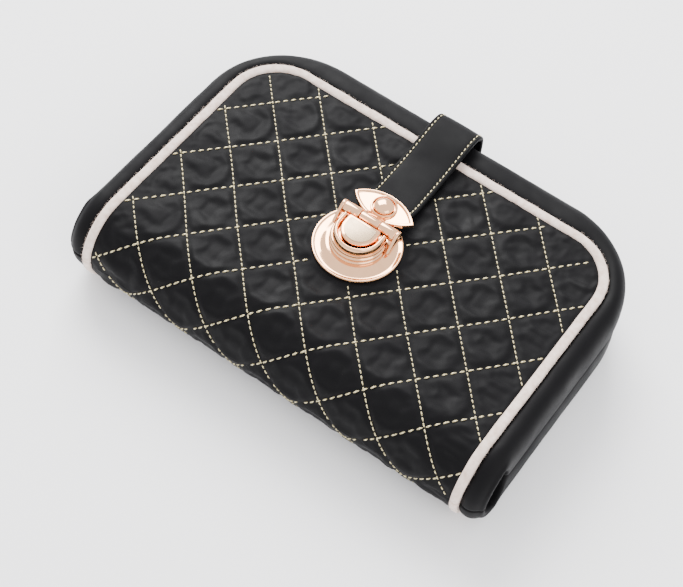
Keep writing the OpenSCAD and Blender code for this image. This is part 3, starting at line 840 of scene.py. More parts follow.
def shapePiping(flat, out, share, depth):
    s = pipingShape
    shaped = flat.copy()
    grid = flat.reshape(-1, 3)
    rough = noiseAt(grid, 0.9 * mm, 2.0).reshape(flat.shape[:2])
    slow = noiseAt(grid, 7 * mm, 8.0).reshape(flat.shape[:2])
    amount = np.where(share > 0.85, s["outerFray"], np.where(share < 0.1, s["innerFray"], 0.05 * mm))
    push = rough * amount + slow * 0.16 * mm
    shaped[:, :, :2] += out[:, None, :] * push[:, :, None]
    shaped[:, :, 2] += slow * s["roll"] + rough * 0.03 * mm
    return shaped


borderShape = {
    "profile": [(-0.03, 3.4), (0.0, 2.1), (0.06, 1.55), (0.16, 1.2), (0.3, 1.02), (0.45, 1.1), (0.6, 1.5),
                (0.73, 2.2), (0.84, 3.2), (0.92, 4.5), (0.97, 6.2), (0.995, 8.4), (1.0, 11.0),
                (0.992, 13.6), (0.972, 15.8), (0.94, 17.4), (0.885, 18.45), (0.8, 18.8), (0.6, 18.84),
                (0.35, 18.84), (0.14, 18.7), (0.06, 18.2), (0.03, 17.0), (0.03, 12.0), (0.03, 7.0)],
    "wall": 8.05 * mm, "keepDepth": 3.2 * mm, "fullDepth": 18.84 * mm, "spineDepth": 6.2 * mm,
    "ripple": 0.28 * mm, "seamPlace": spineY - 16 * mm, "seamSlope": 1.0, "seamDepth": 0.32 * mm,
}


# Wall depth shrinks on the spine; padding ripples; one joint is sewn on the slant
def shapeBorder(flat, out, share, depth):
    b = borderShape
    shaped = flat.copy()
    s = flat[:, :, 1]
    onCover = smooth(spineY - 7 * mm, spineY + 2 * mm, s)
    deep = b["spineDepth"] + (b["fullDepth"] - b["spineDepth"]) * onCover
    scale = (deep - b["keepDepth"]) / (b["fullDepth"] - b["keepDepth"])
    below = np.broadcast_to(depth[None, :], s.shape)
    newDepth = np.where(below > b["keepDepth"], b["keepDepth"] + (below - b["keepDepth"]) * scale, below)
    shaped[:, :, 2] = faceZ - newDepth
    # below the pad, the wall keeps its own thickness where the border is wider
    outermost = share.tolist().index(1.0)
    width = np.linalg.norm(flat[:, -2, :2] - flat[:, outermost, :2], axis=1) / (1 - share[-2])
    lower = smooth(4.5 * mm, 7 * mm, below)
    narrow = np.minimum(b["wall"] / width, 1)[:, None] * lower
    narrow = np.where(below > 4.5 * mm, 1 - lower + narrow, 1)
    inward = (width[:, None] * (1 - share[None, :])) * (1 - narrow)
    shaped[:, :, :2] += out[:, None, :] * inward[:, :, None]
    grid = flat.reshape(-1, 3)
    ripple = noiseAt(grid, 16 * mm, 4.0).reshape(s.shape)
    ripple = ripple + 0.5 * noiseAt(grid, 6 * mm, 6.0).reshape(s.shape)
    outside = ((share > 0.05) & (depth < 18.5 * mm))[None, :] * 1.0
    gather = noiseAt(grid * np.array([1, 1, 0.15]), 3.2 * mm, 12.0).reshape(s.shape)
    gather = gather * (np.abs(share - 0.12) < 0.12)[None, :]
    push = ripple * b["ripple"] * outside
    flatness = np.clip(1.4 - share, 0, 1)[None, :]
    shaped[:, :, 2] += push * flatness + gather * 0.12 * mm
    shaped[:, :, :2] += (out[:, None, :] * (np.minimum(push, 0.02 * mm) * (1 - flatness))[:, :, None])
    slant = (s - b["seamPlace"]) - (flat[:, :, 0] - pipeHalf) * b["seamSlope"]
    groove = np.exp(-(slant / (0.45 * mm)) ** 2) * (flat[:, :, 0] > 0) * outside
    shaped[:, :, 2] -= groove * b["seamDepth"] * flatness
    shaped[:, :, :2] -= out[:, None, :] * (groove * b["seamDepth"] * (1 - flatness))[:, :, None]
    return shaped


def outlinePair(halfA, topA, radiusA, halfB, topB, radiusB):
    return (halfOutline(halfA, topA, radiusA, outlineCounts),
            halfOutline(halfB, topB, radiusB, outlineCounts))


pipingEdges, borderEdges = {}, {}
for side in ("front", "back"):
    inner, outer = outlinePair(quiltHalf + 0.1 * mm, quiltTop + 0.1 * mm, quiltR + 0.1 * mm,
                               pipeHalf, pipeTop, pipeR)
    edge = sweepEdge(side + "Piping", inner, outer, pipingShape["profile"], side, shapePiping,
                     suedeMaterial)
    addModifier(edge, "SUBSURF", levels=1, render_levels=1)
    pipingEdges[side] = edge
    inner, outer = outlinePair(pipeHalf + 0.05 * mm, pipeTop + 0.05 * mm, pipeR, caseHalf, caseTop, caseR)
    edge = sweepEdge(side + "Border", inner, outer, borderShape["profile"], side, shapeBorder,
                     satinMaterial)
    addModifier(edge, "SUBSURF", levels=1, render_levels=1)
    borderEdges[side] = edge
print("piping and border made")


fibres = {"count": 900, "length": (0.25 * mm, 0.85 * mm), "width": 0.07 * mm}


# Loose fibres along the piping's cut outer edge
def makeFibres(side):
    path = halfOutline(pipeHalf, pipeTop, pipeR, (480, 150, 420))
    points, faces = [], []
    for _ in range(fibres["count"]):
        n = random.randrange(1, len(path) - 1)
        here, ahead = path[n], path[n + 1] - path[n - 1]
        ahead = ahead / np.linalg.norm(ahead)
        outward = np.array([ahead[1], -ahead[0]])
        lean = random.uniform(-0.9, 0.9)
        length = random.uniform(*fibres["length"]) * random.random() ** 0.5
        top = faceZ - random.uniform(0.35, 1.0) * mm
        tip = here + (outward + ahead * lean) * length
        half = ahead * fibres["width"] / 2
        base = here - outward * 0.15 * mm
        k = len(points)
        points += [(*(base - half), top), (*(base + half), top),
                   (*tip, top + random.uniform(-0.1, 0.35) * mm), (*base, top - 0.09 * mm)]
        faces += [(k, k + 1, k + 2), (k + 1, k + 3, k + 2), (k + 3, k, k + 2), (k, k + 3, k + 1)]
    points = wrapSpine(onSide(np.array(points, float), side))
    if side == "back":
        points = pressUnderStrap(points)
    obj = makeMesh(side + "PipingFibres", points, faces)
    faceOutward(obj)
    obj.data.materials.append(suedeMaterial)
    return obj


pipingFibres = {side: makeFibres(side) for side in ("front", "back")}
print("piping fibres made")


# strap: a doubled band with two rows of topstitch
strap = {
    "half": 9.5 * mm, "thick": 1.8 * mm, "stitchIn": 1.5 * mm, "split": 19 * mm,
    # middle line seen from the side, distance past the case's edge by height:
    # under the back cover, up the edge and over the front cover to the lock
    "line": [(-21.0, 1.1), (-10.8, 1.1), (-3.3, 1.1), (-0.2, 1.45), (1.3, 3.2), (1.7, 8), (1.8, 19),
             (1.8, 30), (1.55, 35), (0.7, 38.6), (-1.8, 41.0), (-5.8, 41.9), (-10.8, 41.6), (-17.8, 40.5),
             (-24.8, 39.7), (-34.8, 39.35), (-41.8, 39.3), (-45.3, 39.8), (-48.8, 41.1), (-51.8, 41.85),
             (-57.6, 41.9)],
    "section": [(-1, 0.0), (-0.985, 0.32), (-0.94, 0.47), (-0.88, 0.44), (-0.842, 0.34), (-0.8, 0.45),
                (-0.6, 0.52), (-0.3, 0.54), (0, 0.55), (0.3, 0.54), (0.6, 0.52), (0.8, 0.45), (0.842, 0.34),
                (0.88, 0.44), (0.94, 0.47), (0.985, 0.32), (1, 0.0)],
}


# A Catmull-Rom line through the points, evenly stepped
def smoothLine(points, step):
    pts = np.array(points, float) * mm + np.array([caseTop, 0])
    pts = np.vstack([2 * pts[0] - pts[1], pts, 2 * pts[-1] - pts[-2]])
    dense = []
    for k in range(1, len(pts) - 2):
        a, b, c, d = pts[k - 1:k + 3]
        for t in np.linspace(0, 1, 24, endpoint=False):
            dense.append(0.5 * (2 * b + (c - a) * t + (2 * a - 5 * b + 4 * c - d) * t * t
                                + (3 * b - a - 3 * c + d) * t ** 3))
    dense.append(pts[-2])
    dense = np.array(dense)
    length = np.concatenate([[0], np.cumsum(np.linalg.norm(np.diff(dense, axis=0), axis=1))])
    where = np.linspace(0, length[-1], int(length[-1] / step) + 1)
    return np.stack([np.interp(where, length, dense[:, n]) for n in (0, 1)], 1), where


def lineFrame(line):
    ahead = np.gradient(line, axis=0)
    ahead /= np.linalg.norm(ahead, axis=1)[:, None]
    return ahead, np.stack([ahead[:, 1], -ahead[:, 0]], 1)


def makeStrapPart(name, line, where):
    s = strap
    ahead, outward = lineFrame(line)
    upper = s["section"]
    lower = [(x, -h) for x, h in reversed(upper[1:-1])]
    section = upper + lower
    points, uv, faces = [], [], []
    for (y, z), (oy, oz), w in zip(line, outward, where):
        wave = 0.12 * mm * noise.noise(Vector((0, y / (9 * mm), z / (9 * mm))))
        for x, h in section:
            height = h * s["thick"] + wave * (1 - x * x)
            points.append((x * s["half"], y + oy * height, z + oz * height))
            uv.append((x * s["half"] + h * mm, w))
    ring = len(section)
    for c in range(len(line) - 1):
        for r in range(ring):
            n = (r + 1) % ring
            faces.append((c * ring + r, (c + 1) * ring + r, (c + 1) * ring + n, c * ring + n))
    faces += [tuple(range(ring)), tuple((len(line) - 1) * ring + r for r in reversed(range(ring)))]
    obj = makeMesh(name, points, faces, uv)
    faceOutward(obj)
    obj.data.materials.append(strapMaterial)
    addModifier(obj, "SUBSURF", levels=1, render_levels=1)
    return obj


def strapStitchPlaces(line, first, last):
    s, kind = strap, stitching["strap"]
    ahead, outward = lineFrame(line)
    length = np.concatenate([[0], np.cumsum(np.linalg.norm(np.diff(line, axis=0), axis=1))])
    places = []
    for side in (-1, 1):
        for w in np.arange(first, last, kind["pitch"]):
            y, z, ay, az, oy, oz = (np.interp(w, length, column)
                                    for column in (*line.T, *ahead.T, *outward.T))
            up = np.array([0, oy, oz])
            up /= np.linalg.norm(up)
            forward = np.array([0, ay, az])
            forward /= np.linalg.norm(forward)
            height = 0.36 * s["thick"] + 0.1 * mm
            places.append((np.array([side * (s["half"] - s["stitchIn"]), y, z]) + up * height, forward, up))
    return places


strapLine, strapWhere = smoothLine(strap["line"], 0.9 * mm)
splitAt = int(np.flatnonzero((strapLine[:, 0] > caseTop) & (strapLine[:, 1] < strap["split"]))[-1]) + 1
strapLower = makeStrapPart("strapLower", strapLine[:splitAt + 1], strapWhere[:splitAt + 1])
strapUpper = makeStrapPart("strapUpper", strapLine[splitAt:], strapWhere[splitAt:])
lowerLength = strapWhere[splitAt]
upperLength = strapWhere[-1] - strapWhere[splitAt]
lowerStitches = sewGrains("strapLowerStitches", "strap",
                          strapStitchPlaces(strapLine[:splitAt + 1], 1.5 * mm, lowerLength - 0.5 * mm))
upperStitches = sewGrains("strapUpperStitches", "strap",
                          strapStitchPlaces(strapLine[splitAt:], 0.5 * mm, upperLength - 1.5 * mm))
print("strap made")


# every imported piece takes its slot's finish
slotMaterials = {"black_satin": satinMaterial, "strap_satin": strapMaterial, "suede_piping": suedeMaterial,
                 "beige_lining": liningMaterial, "board": cardMaterial, "elastic": elasticMaterial,
                 "zip_tape": tapeMaterial, "rose_gold": goldMaterial, "brushed_gold": brushedMaterial,
                 "steel": steelMaterial}


def finishPacked():
    for part in frame["record"]["subparts"]:
        obj = frame["nodes"][part["node"]]
        obj.data.materials.clear()
        obj.data.materials.append(slotMaterials[part["material_slot"]])


finishPacked()
print("packed pieces have their finishes")


# clasp, drawn round the lock's centre and then moved there
barPlace = (0, 7.1 * mm, 7.0 * mm)             # the bar's axis, from the lock's centre


def placeAtLock(obj):
    makeActive(obj)
    obj.location = (lockX, lockY, lockZ)
    bpy.ops.object.transform_apply(location=True, rotation=False, scale=False)
    return obj


def addBar(radius, length, place, count):
    # a cylinder along X
    bpy.ops.mesh.primitive_cylinder_add(vertices=count, radius=radius * mm, depth=length * mm,
                                        rotation=(0, math.pi / 2, 0), location=place)


def turnPiece(name, profile, count, material, y=0.0, angle=35):
    # a ring is extruded and resized through each step of the profile, radius by height
    clearSelection()
    r, z = profile[0]
    bpy.ops.mesh.primitive_circle_add(vertices=count, radius=r * mm, location=(0, y * mm, z * mm))
    obj = openPiece(name)
    selectAll()
    for nextR, nextZ in profile[1:]:
        bpy.ops.mesh.extrude_edges_move(TRANSFORM_OT_translate={"value": (0, 0, (nextZ - z) * mm)})
        bpy.ops.transform.resize(value=(nextR / r, nextR / r, 1), center_override=(0, y * mm, nextZ * mm))
        r, z = nextR, nextZ
    bpy.ops.mesh.edge_face_add()
    first = profile[0][1] * mm
    pick(obj, "EDGE", lambda e: e.is_boundary and abs(middle(e).z - first) < 0.01 * mm)
    bpy.ops.mesh.edge_face_add()
    return closePiece(obj, material, angle)


def wrapInHull():
    selectAll()
    bpy.ops.mesh.convex_hull()
    selectAll()
    bpy.ops.mesh.dissolve_limited(angle_limit=math.radians(1))


def bevelPicked(obj, test, width, segments=3):
    pick(obj, "EDGE", test)
    bpy.ops.mesh.bevel(offset=width * mm, segments=segments, affect="EDGES", clamp_overlap=True)


discShape = [(16.0, 0.0), (16.4, 0.15), (16.5, 0.45), (16.5, 0.8), (16.38, 1.05), (16.1, 1.18), (15.8, 1.14),
             (15.4, 1.02), (14.6, 1.02), (13.6, 1.2), (12.6, 1.55), (11.8, 1.95), (11.2, 2.15), (10.6, 2.2),
             (0.4, 2.2)]
bodyShape = [(10.5, 2.1), (10.5, 2.9), (10.42, 3.25), (10.2, 3.5), (10.0, 3.62), (9.95, 3.8), (10.0, 4.15),
             (10.2, 4.4), (10.36, 4.6), (10.4, 4.85), (10.36, 5.15), (10.2, 5.4), (9.95, 5.55), (9.8, 5.7),
             (9.8, 6.2), (9.7, 6.42), (9.45, 6.5), (0.4, 6.5)]


def makeLockBase():
    disc = placeAtLock(turnPiece("lockDisc", discShape, 128, goldMaterial))
    body = turnPiece("lockBody", bodyShape, 112, goldMaterial)
    makeActive(body)
    bpy.ops.object.mode_set(mode="EDIT")
    selectAll()
    bpy.ops.mesh.bisect(plane_co=(0, 4.3 * mm, 0), plane_no=(0, 1, 0), use_fill=True, clear_outer=True)
    closePiece(body, goldMaterial)
    return disc, placeAtLock(body)


horseshoe = {"line": 8.3, "halfWidth": 1.15, "rise": 2.9, "low": 6.5, "end": 3.7}


def makeLockRim():
    # half-round bar bent into a U whose open end faces the strap
    h = horseshoe
    clearSelection()
    bpy.ops.mesh.primitive_circle_add(vertices=28, radius=1 * mm, rotation=(math.pi / 2, 0, 0),
                                      location=(h["line"] * mm, h["end"] * mm, h["low"] * mm))
    obj = openPiece("lockRim")
    selectAll()
    bpy.ops.transform.resize(value=(h["halfWidth"], 1, h["rise"]),
                             center_override=(h["line"] * mm, h["end"] * mm, h["low"] * mm))
    bpy.ops.mesh.edge_face_add()
    bpy.ops.mesh.extrude_region_move(TRANSFORM_OT_translate={"value": (0, -h["end"] * mm, 0)})
    bpy.ops.mesh.spin(steps=48, angle=math.pi, center=(0, 0, 0), axis=(0, 0, 1))
    bpy.ops.mesh.extrude_region_move(TRANSFORM_OT_translate={"value": (0, h["end"] * mm, 0)})
    selectAll()
    bpy.ops.mesh.remove_doubles(threshold=0.01 * mm)
    end = h["end"] * mm
    pick(obj, "FACE", lambda f: len(f.verts) > 20 and middle(f).y < end - 0.1 * mm)
    bpy.ops.mesh.delete(type="ONLY_FACE")
    selectAll()
    bpy.ops.mesh.normals_make_consistent(inside=False)
    bevelPicked(obj, lambda e: all(abs(v.co.y - end) < 0.01 * mm for v in e.verts), 0.3)
    return placeAtLock(closePiece(obj, goldMaterial, 40))


def makeButtonPiece(name, radius, back, low, high, bevel, material):
    # half a disc with its straight side drawn on to the flat of the lock
    clearSelection()
    bpy.ops.mesh.primitive_circle_add(vertices=96, radius=radius * mm, fill_type="NGON",
                                      location=(0, 0, low * mm))
    obj = openPiece(name)
    selectAll()
    bpy.ops.mesh.bisect(plane_co=(0, 0, 0), plane_no=(0, 1, 0), clear_outer=True)
    pick(obj, "EDGE", lambda e: all(abs(v.co.y) < 0.01 * mm for v in e.verts))
    bpy.ops.mesh.extrude_edges_move(TRANSFORM_OT_translate={"value": (0, back * mm, 0)})
    selectAll()
    bpy.ops.mesh.extrude_region_move(TRANSFORM_OT_translate={"value": (0, 0, (high - low) * mm)})
    selectAll()
    bpy.ops.mesh.normals_make_consistent(inside=False)
    corner = radius * mm - 0.01 * mm
    bevelPicked(obj, lambda e: abs(e.verts[0].co.z - e.verts[1].co.z) > 0.1 * mm
                and all(v.co.y > (back - 0.01) * mm and abs(v.co.x) > corner for v in e.verts), 0.8)
    bevelPicked(obj, lambda e: e.calc_face_angle(0) > 1.2
                and all(v.co.z > (high - 0.01) * mm for v in e.verts), bevel)
    return placeAtLock(closePiece(obj, material))


def makeHasp():
    # two halves of the bar beside the plate's knuckle, and a hooked leg at each end
    pieces = []
    for side in (-1, 1):
        clearSelection()
        addBar(2.4, 6.65, (side * 7.575 * mm, *barPlace[1:]), 64)
        bar = openPiece("haspBar")
        bevelPicked(bar, lambda e: e.calc_face_angle(0) > 1.2, 0.35)
        pieces.append(closePiece(bar, goldMaterial))
        clearSelection()
        addBar(2.4, 1.3, (side * 11.55 * mm, *barPlace[1:]), 48)
        leg = openPiece("haspLeg")
        addBar(1.2, 1.3, (side * 11.55 * mm, 2.1 * mm, 3.5 * mm), 32)
        wrapInHull()
        bevelPicked(leg, lambda e: e.calc_face_angle(0) > 1.2, 0.35)
        pieces.append(closePiece(leg, goldMaterial))
    return placeAtLock(joinPieces(pieces, "haspBar"))


def makePin():
    clearSelection()
    addBar(0.7, 24.9, barPlace, 32)
    pin = openPiece("haspPin")
    bevelPicked(pin, lambda e: e.calc_face_angle(0) > 1.2, 0.2)
    return placeAtLock(closePiece(pin, goldMaterial))


plate = {"length": 25.5, "width": 12.0, "middleY": 15.9, "low": 4.7, "high": 5.95,
         # half length, half width and height of each step from the rim into the hollow
         "steps": [(12.68, 5.93, 6.1), (12.5, 5.78, 6.2), (11.75, 5.3, 6.22), (11.5, 5.14, 6.14),
                   (11.3, 5.0, 5.9), (10.9, 4.75, 5.7)]}


ringShape = [(5.0, 5.2), (5.0, 6.2), (4.95, 6.55), (4.75, 6.8), (4.45, 6.88), (4.2, 6.75), (4.05, 6.45),
             (4.0, 5.9)]


def makePlate():
    # pointed oval, hollowed inside a rounded rim, with a raised ring and the bar's knuckle
    p = plate
    big = (p["length"] ** 2 + p["width"] ** 2) / (4 * p["width"])
    discs = []
    for side in (-1, 1):
        clearSelection()
        bpy.ops.mesh.primitive_cylinder_add(vertices=100, radius=big * mm, depth=(p["high"] - p["low"]) * mm,
                                            location=(0, side * (big - p["width"] / 2) * mm,
                                                      (p["high"] + p["low"]) / 2 * mm))
        disc = openPiece("latchPlate")
        bpy.ops.object.mode_set(mode="OBJECT")
        discs.append(disc)
    obj = discs[0]
    addModifier(obj, "BOOLEAN", object=discs[1], operation="INTERSECT", solver="EXACT")
    bpy.data.objects.remove(discs[1])
    makeActive(obj)
    bpy.ops.object.mode_set(mode="EDIT")
    selectAll()
    bpy.ops.mesh.remove_doubles(threshold=0.1 * mm)
    top = p["high"] * mm
    pick(obj, "FACE", lambda f: f.normal.z > 0.9 and middle(f).z > top - 0.01 * mm)
    wasLong, wasWide, wasHigh = p["length"] / 2, p["width"] / 2, p["high"]
    for long, wide, high in p["steps"]:
        bpy.ops.mesh.extrude_region_move(TRANSFORM_OT_translate={"value": (0, 0, (high - wasHigh) * mm)})
        bpy.ops.transform.resize(value=(long / wasLong, wide / wasWide, 1),
                                 center_override=(0, 0, high * mm))
        wasLong, wasWide, wasHigh = long, wide, high
    selectAll()
    bpy.ops.transform.translate(value=(0, p["middleY"] * mm, 0))
    closePiece(obj, goldMaterial, 30)
    ring = turnPiece("plateRing", ringShape, 72, goldMaterial, p["middleY"])
    clearSelection()
    addBar(2.0, 8, barPlace, 64)
    knuckle = openPiece("plateKnuckle")
    bpy.ops.mesh.primitive_cube_add(size=1, location=(0, 11.3 * mm, 5.45 * mm),
                                    scale=(8 * mm, 0.4 * mm, 1.3 * mm))
    wrapInHull()
    bevelPicked(knuckle, lambda e: e.calc_face_angle(0) > 1.2, 0.25)
    closePiece(knuckle, goldMaterial)
    return placeAtLock(joinPieces([obj, ring, knuckle], "latchPlate"))


def makeRivet():
    profile = [(3.0, 5.9), (3.7, 6.35), (3.8, 6.5)]
    for step in range(1, 9):
        angle = math.pi / 2 * step / 9
        profile.append((3.8 * math.cos(angle), 6.5 + 1.9 * math.sin(angle)))
    profile.append((0.15, 8.4))
    return placeAtLock(turnPiece("latchRivet", profile, 64, goldMaterial, plate["middleY"], 60))


lockDisc, lockBody = makeLockBase()
lockRim = makeLockRim()
lockButton = makeButtonPiece("lockButton", 6.7, 3.9, 7.8, 9.7, 0.5, goldMaterial)
buttonFace = makeButtonPiece("buttonFace", 5.55, 2.8, 9.6, 9.95, 0.12, brushedMaterial)
hasp = makeHasp()
haspPin = makePin()
latchPlate = makePlate()
latchRivet = makeRivet()
print("clasp made")


# linings: nested rings of the cover's outline, pushed up into walls at the rim
lining = {
    "half": 81.9 * mm, "top": caseTop - 8.1 * mm, "radius": 29.9 * mm,
    # distance in from the outline by height on the unrolled front
    "wall": [(0.35, 19.5), (0.5, 19.45), (0.7, 19.6), (0.8, 20.2), (0.82, 23.0), (0.8, 26.0), (0.85, 28.8),
             (1.1, 29.8), (1.7, 30.35), (2.6, 30.5)],
    "back": [(2.6, 31.28), (1.0, 31.28), (0.35, 31.1), (0.05, 30.6), (0.02, 28.8), (0.0, 26.0), (0.02, 23.0),
             (0.05, 20.2)],
    "inner": 30.5, "outer": 31.28, "ripple": 0.16 * mm, "rings": 30,
}


def makeLining(side):
    c = lining
    deep = c["half"] / mm - 0.4
    steps = [2.6 + (deep - 2.6) * (n + 1) / c["rings"] for n in range(c["rings"])]
    profile = c["wall"] + [(d, c["inner"]) for d in steps]
    profile += [(d, c["outer"]) for d in [steps[-1]] + steps[24::-6]] + c["back"]
    rings = []
    for d, z in profile:
        inset = d * mm
        radius = max(c["radius"] - inset, 0.35 * mm)
        ring = halfOutline(c["half"] - inset, c["top"] - inset, radius, outlineCounts)
        rings.append(np.column_stack([ring, np.full(len(ring), z * mm)]))
    flat = np.stack(rings, 1)
    heights = flat[:, :, 2]
    keep = smooth(spineY - 1 * mm, spineY + 4 * mm, flat[:, :, 1])
    level = 30.45 * mm
    flat[:, :, 2] = np.where(heights < level, level + (heights - level) * keep, heights)
    count, ring = flat.shape[:2]
    grid = flat.reshape(-1, 3)
    wave = noiseAt(grid, 15 * mm, 21.0) + 0.5 * noiseAt(grid, 5 * mm, 23.0)
    inner = np.arange(ring) < len(c["wall"]) + c["rings"]
    push = (wave.reshape(count, ring) - 0.9) * c["ripple"] * 0.5 * inner
    flat[:, :, 2] -= push * (np.arange(ring) > 8)
    length = np.concatenate([[0], np.cumsum(np.linalg.norm(np.diff(flat[:, 0, :2], axis=0), axis=1))])
    uv = np.stack(np.broadcast_arrays(length[:, None], np.arange(ring)[None, :] * 2 * mm), 2).reshape(-1, 2)
    faces = []
    last = len(c["wall"]) + c["rings"] - 1
    for p in range(count - 1):
        for r in range(ring):
            if r == last:
                continue
            n = (r + 1) % ring
            faces.append((p * ring + r, (p + 1) * ring + r, (p + 1) * ring + n, p * ring + n))
    # the innermost rings meet along the middle, and both legs end at the spine's middle
    end = (count - 1) * ring
    faces.append(tuple(range(ring)))
    faces.append(tuple(end + r for r in reversed(range(ring))))
    faces.append((last, last + 1, end + last + 1, end + last))
    for p in range(count // 2):
        q = count - 1 - p
        if q - p < 2:
            break
        for r in (last, last + 1):
            faces.append((p * ring + r, q * ring + r, (q - 1) * ring + r, (p + 1) * ring + r))
    points = wrapSpine(onSide(flat.reshape(-1, 3), side))
    obj = makeMesh(side + "Lining", points, faces, uv)
    faceOutward(obj)
    bpy.ops.object.shade_smooth_by_angle(angle=math.radians(60))
    obj.data.materials.append(liningMaterial)
    return obj


linings = {side: makeLining(side) for side in ("front", "back")}
print("linings made")


# fittings inside the case
def softPiece(name, node, voxel, rounds, ripple, material):
    # a sewn piece: its blocks melt into one skin, edges relax and the cloth ripples
    low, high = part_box(node)
    obj = bpy.data.objects.new(name, frame["nodes"][node].data.copy())
    bpy.context.scene.collection.objects.link(obj)
    addModifier(obj, "REMESH", mode="VOXEL", voxel_size=voxel * mm, use_smooth_shade=True)
    addModifier(obj, "SMOOTH", factor=0.5, iterations=rounds)
    points = readPoints(obj)
    normals = np.array([v.normal for v in obj.data.vertices])
    wave = noiseAt(points, 11 * mm, 31.0) + 0.5 * noiseAt(points, 3.5 * mm, 33.0) - 0.6
    points += normals * (wave * ripple * mm)[:, None]
    points = np.clip(points, np.array(low), np.array(high))
    writePoints(obj, points)
    obj.data.materials.clear()
    obj.data.materials.append(material)
    return obj


def hardPiece(name, node, width, material):
    # a small metal piece with its edges broken
    obj = bpy.data.objects.new(name, frame["nodes"][node].data.copy())
    bpy.context.scene.collection.objects.link(obj)
    makeActive(obj)
    bpy.ops.object.mode_set(mode="EDIT")
    selectAll()
    bpy.ops.mesh.remove_doubles(threshold=0.001 * mm)
    selectAll()
    bpy.ops.mesh.dissolve_limited(angle_limit=math.radians(0.5))
    bpy.ops.object.mode_set(mode="OBJECT")
    addModifier(obj, "BEVEL", width=width * mm, segments=2, limit_method="ANGLE",
                angle_limit=math.radians(40))
    makeActive(obj)
    bpy.ops.object.shade_smooth_by_angle(angle=math.radians(35))
    obj.data.materials.clear()
    obj.data.materials.append(material)
    return obj


fittings = {
    # piece, node, body, slot, voxel, smoothing rounds, ripple
    "soft": [("ringLoops", "ring_loops", "back", "elastic", 0.4, 3, 0.03),
             ("necklaceRail", "necklace_rail", "back", "beige_lining", 0.5, 6, 0.12),
             ("necklacePocket", "necklace_pocket", "back", "beige_lining", 0.45, 3, 0.1),
             ("zipPocket", "zip_pocket", "front", "beige_lining", 0.5, 3, 0.1),
             ("zipTape", "zip_tape", "front", "zip_tape", 0.3, 2, 0.03),
             ("tabLeft", "necklace_tab_left", "tab_left", "beige_lining", 0.35, 3, 0.06),
             ("tabMiddle", "necklace_tab_middle", "tab_middle", "beige_lining", 0.35, 3, 0.06),
             ("tabRight", "necklace_tab_right", "tab_right", "beige_lining", 0.35, 3, 0.06),
             ("earringFlap", "earring_flap", "earring_flap", "beige_lining", 0.4, 3, 0.06)],
    # piece, node, body, slot, edge
    "hard": [("snapStuds", "snap_studs", "back", "rose_gold", 0.15),
             ("snapCapLeft", "snap_cap_left", "tab_left", "rose_gold", 0.2),
             ("snapCapMiddle", "snap_cap_middle", "tab_middle", "rose_gold", 0.2),
             ("snapCapRight", "snap_cap_right", "tab_right", "rose_gold", 0.2),
             ("zipTeeth", "zip_teeth", "front", "rose_gold", 0.1),
             ("zipStops", "zip_stops", "front", "rose_gold", 0.15),
             ("zipSlider", "zip_slider", "slider", "rose_gold", 0.15),
             ("zipPull", "zip_pull", "pull", "rose_gold", 0.15)],
}
fittingPieces = []
for name, node, body, slot, voxel, rounds, ripple in fittings["soft"]:
    piece = softPiece(name, node, voxel, rounds, ripple, slotMaterials[slot])
    fittingPieces.append((piece, node, body, slot))
for name, node, body, slot, width in fittings["hard"]:
    piece = hardPiece(name, node, width, slotMaterials[slot])
    fittingPieces.append((piece, node, body, slot))
print("fittings made")

roll = {"rings": 64, "sides": 48, "endRound": 3.2 * mm, "wave": 0.18 * mm, "pinch": 0.35 * mm}


def makeRoll():
    # stuffed roll for rings: rounded ends, a wavy skin and a waist under each elastic loop
    low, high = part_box("ring_roll")
    radius = (high.z - low.z) / 2
    centre = (low + high) / 2
    length = high.x - low.x
    clearSelection()
    bpy.ops.mesh.primitive_uv_sphere_add(segments=roll["sides"], ring_count=roll["rings"], radius=radius,
                                         rotation=(0, math.pi / 2, 0), location=centre)
    obj = openPiece("ringRoll")
    bpy.ops.object.mode_set(mode="OBJECT")
    points = readPoints(obj) - np.array(centre)
    t = np.clip(points[:, 0] / radius, -1, 1)
    along = t * length / 2
    toEnd = length / 2 - np.abs(along)
    endR = roll["endRound"]
    drop = endR - np.sqrt(np.maximum(endR ** 2 - (endR - toEnd) ** 2, 0))
    full = np.where(toEnd < endR, 1 - drop / radius, 1)
    angle = np.arctan2(points[:, 2], points[:, 1])
    pole = np.hypot(points[:, 1], points[:, 2]) < 0.001 * mm
    full = np.where(pole, 0, full)
    skin = np.stack([along, radius * np.cos(angle), radius * np.sin(angle)], 1)
    wave = noiseAt(skin, 9 * mm, 41.0) - 0.8
    r = radius * full + np.where(pole, 0, wave * roll["wave"])
    for loopX in (-42, 42):
        r -= roll["pinch"] * np.exp(-((along + centre.x - loopX * mm) / (5 * mm)) ** 4) * (full > 0.9)
    out = np.stack([along, r * np.cos(angle), r * np.sin(angle)], 1) + np.array(centre)
    obj.data.polygons.foreach_set("use_smooth", [True] * len(obj.data.polygons))
    writePoints(obj, out)
    obj.data.materials.append(liningMaterial)
    return obj


ringRoll = makeRoll()
print("ring roll made")


def rideShell(obj):
    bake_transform(obj)


for side in ("front", "back"):
    rideShell(quiltHalves[side])
    rideShell(borderEdges[side])
    rideShell(pipingEdges[side])
    rideShell(pipingFibres[side])
    for kind in ("bold", "fine"):
        rideShell(quiltStitches[side, kind])
    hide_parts(side + "_quilt", "spine_quilt")
    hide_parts(side + "_piping", "spine_piping")
    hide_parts(side + "_border", "spine_border")

for obj in (strapLower, lowerStitches):
    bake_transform(obj)
for obj in (strapUpper, upperStitches):
    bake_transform(obj)
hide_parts("strap_anchor", "strap_riser")
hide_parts("strap_band")

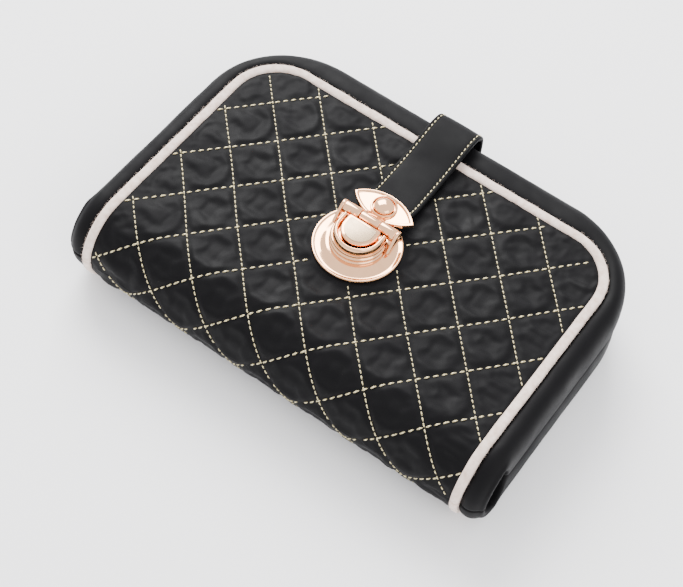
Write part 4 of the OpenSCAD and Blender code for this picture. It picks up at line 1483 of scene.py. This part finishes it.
for obj, body, node in ((lockDisc, "front", "lock_disc"), (lockBody, "front", "lock_body"),
                        (lockRim, "front", "lock_rim"), (hasp, "hasp", "hasp"),
                        (haspPin, "hasp", "hasp_pin"), (latchPlate, "strap", "latch_plate"),
                        (latchRivet, "strap", "latch_rivet")):
    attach(obj, body)
    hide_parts(node)
for obj, node, slot in ((lockButton, "lock_button", "rose_gold"),
                        (buttonFace, "button_face", "brushed_gold")):
    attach(obj, "button")
    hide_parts(node)

for side in ("front", "back"):
    rideShell(linings[side])
    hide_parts(side + "_lining", "spine_lining")
for obj, node, body, slot in fittingPieces:
    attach(obj, body)
    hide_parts(node)
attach(ringRoll, "ring_roll")
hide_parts("ring_roll")
print("pieces ride on their bodies")


# camera, floor and light
camera = {"place": (166.7, -320.9, 529.6), "aim": (7.4, -27.8, 38.0), "lens": 89.6, "roll": 8.01}


def makeCamera():
    data = bpy.data.cameras.new("camera")
    data.lens = camera["lens"]
    data.sensor_width = 36
    obj = bpy.data.objects.new("camera", data)
    bpy.context.scene.collection.objects.link(obj)
    place, aim = Vector(camera["place"]) * mm, Vector(camera["aim"]) * mm
    turn = (aim - place).to_track_quat("-Z", "Y") @ Quaternion((0, 0, 1), math.radians(camera["roll"]))
    obj.rotation_mode = "QUATERNION"
    obj.location, obj.rotation_quaternion = place, turn
    bpy.context.scene.camera = obj


def makeArea(name, place, aim, size, power, colour):
    data = bpy.data.lights.new(name, "AREA")
    data.shape = "RECTANGLE"
    data.size, data.size_y = size
    data.energy, data.color = power, colour
    obj = bpy.data.objects.new(name, data)
    bpy.context.scene.collection.objects.link(obj)
    obj.location = place
    obj.rotation_euler = (Vector(aim) - Vector(place)).to_track_quat("-Z", "Y").to_euler()


studio = {"floor": (0.97, 0.97, 0.97), "worldLight": 2.0}


def makeStudio():
    clearSelection()
    bpy.ops.mesh.primitive_plane_add(size=6, location=(0, 0, -0.0002))
    floor = openPiece("floor")
    bpy.ops.object.mode_set(mode="OBJECT")
    material, tree, shader, coordinates = startMaterial("paper", Roughness=0.9, Specular_IOR_Level=0.15)
    shader.inputs["Base Color"].default_value = (*studio["floor"], 1)
    floor.data.materials.append(material)
    world = bpy.data.worlds.new("studio")
    world.use_nodes = True
    background = world.node_tree.nodes["Background"]
    background.inputs["Color"].default_value = (0.97, 0.97, 1.0, 1)
    background.inputs["Strength"].default_value = studio["worldLight"]
    bpy.context.scene.world = world
    makeArea("window", (-0.75, 0.75, 0.95), (0, 0, 0), (0.9, 0.9), 45, (1, 1, 1))
    makeArea("fill", (0.8, -0.3, 0.8), (0, 0, 0), (0.7, 0.7), 5, (1, 0.98, 0.96))


makeCamera()
makeStudio()
print("camera and studio made")
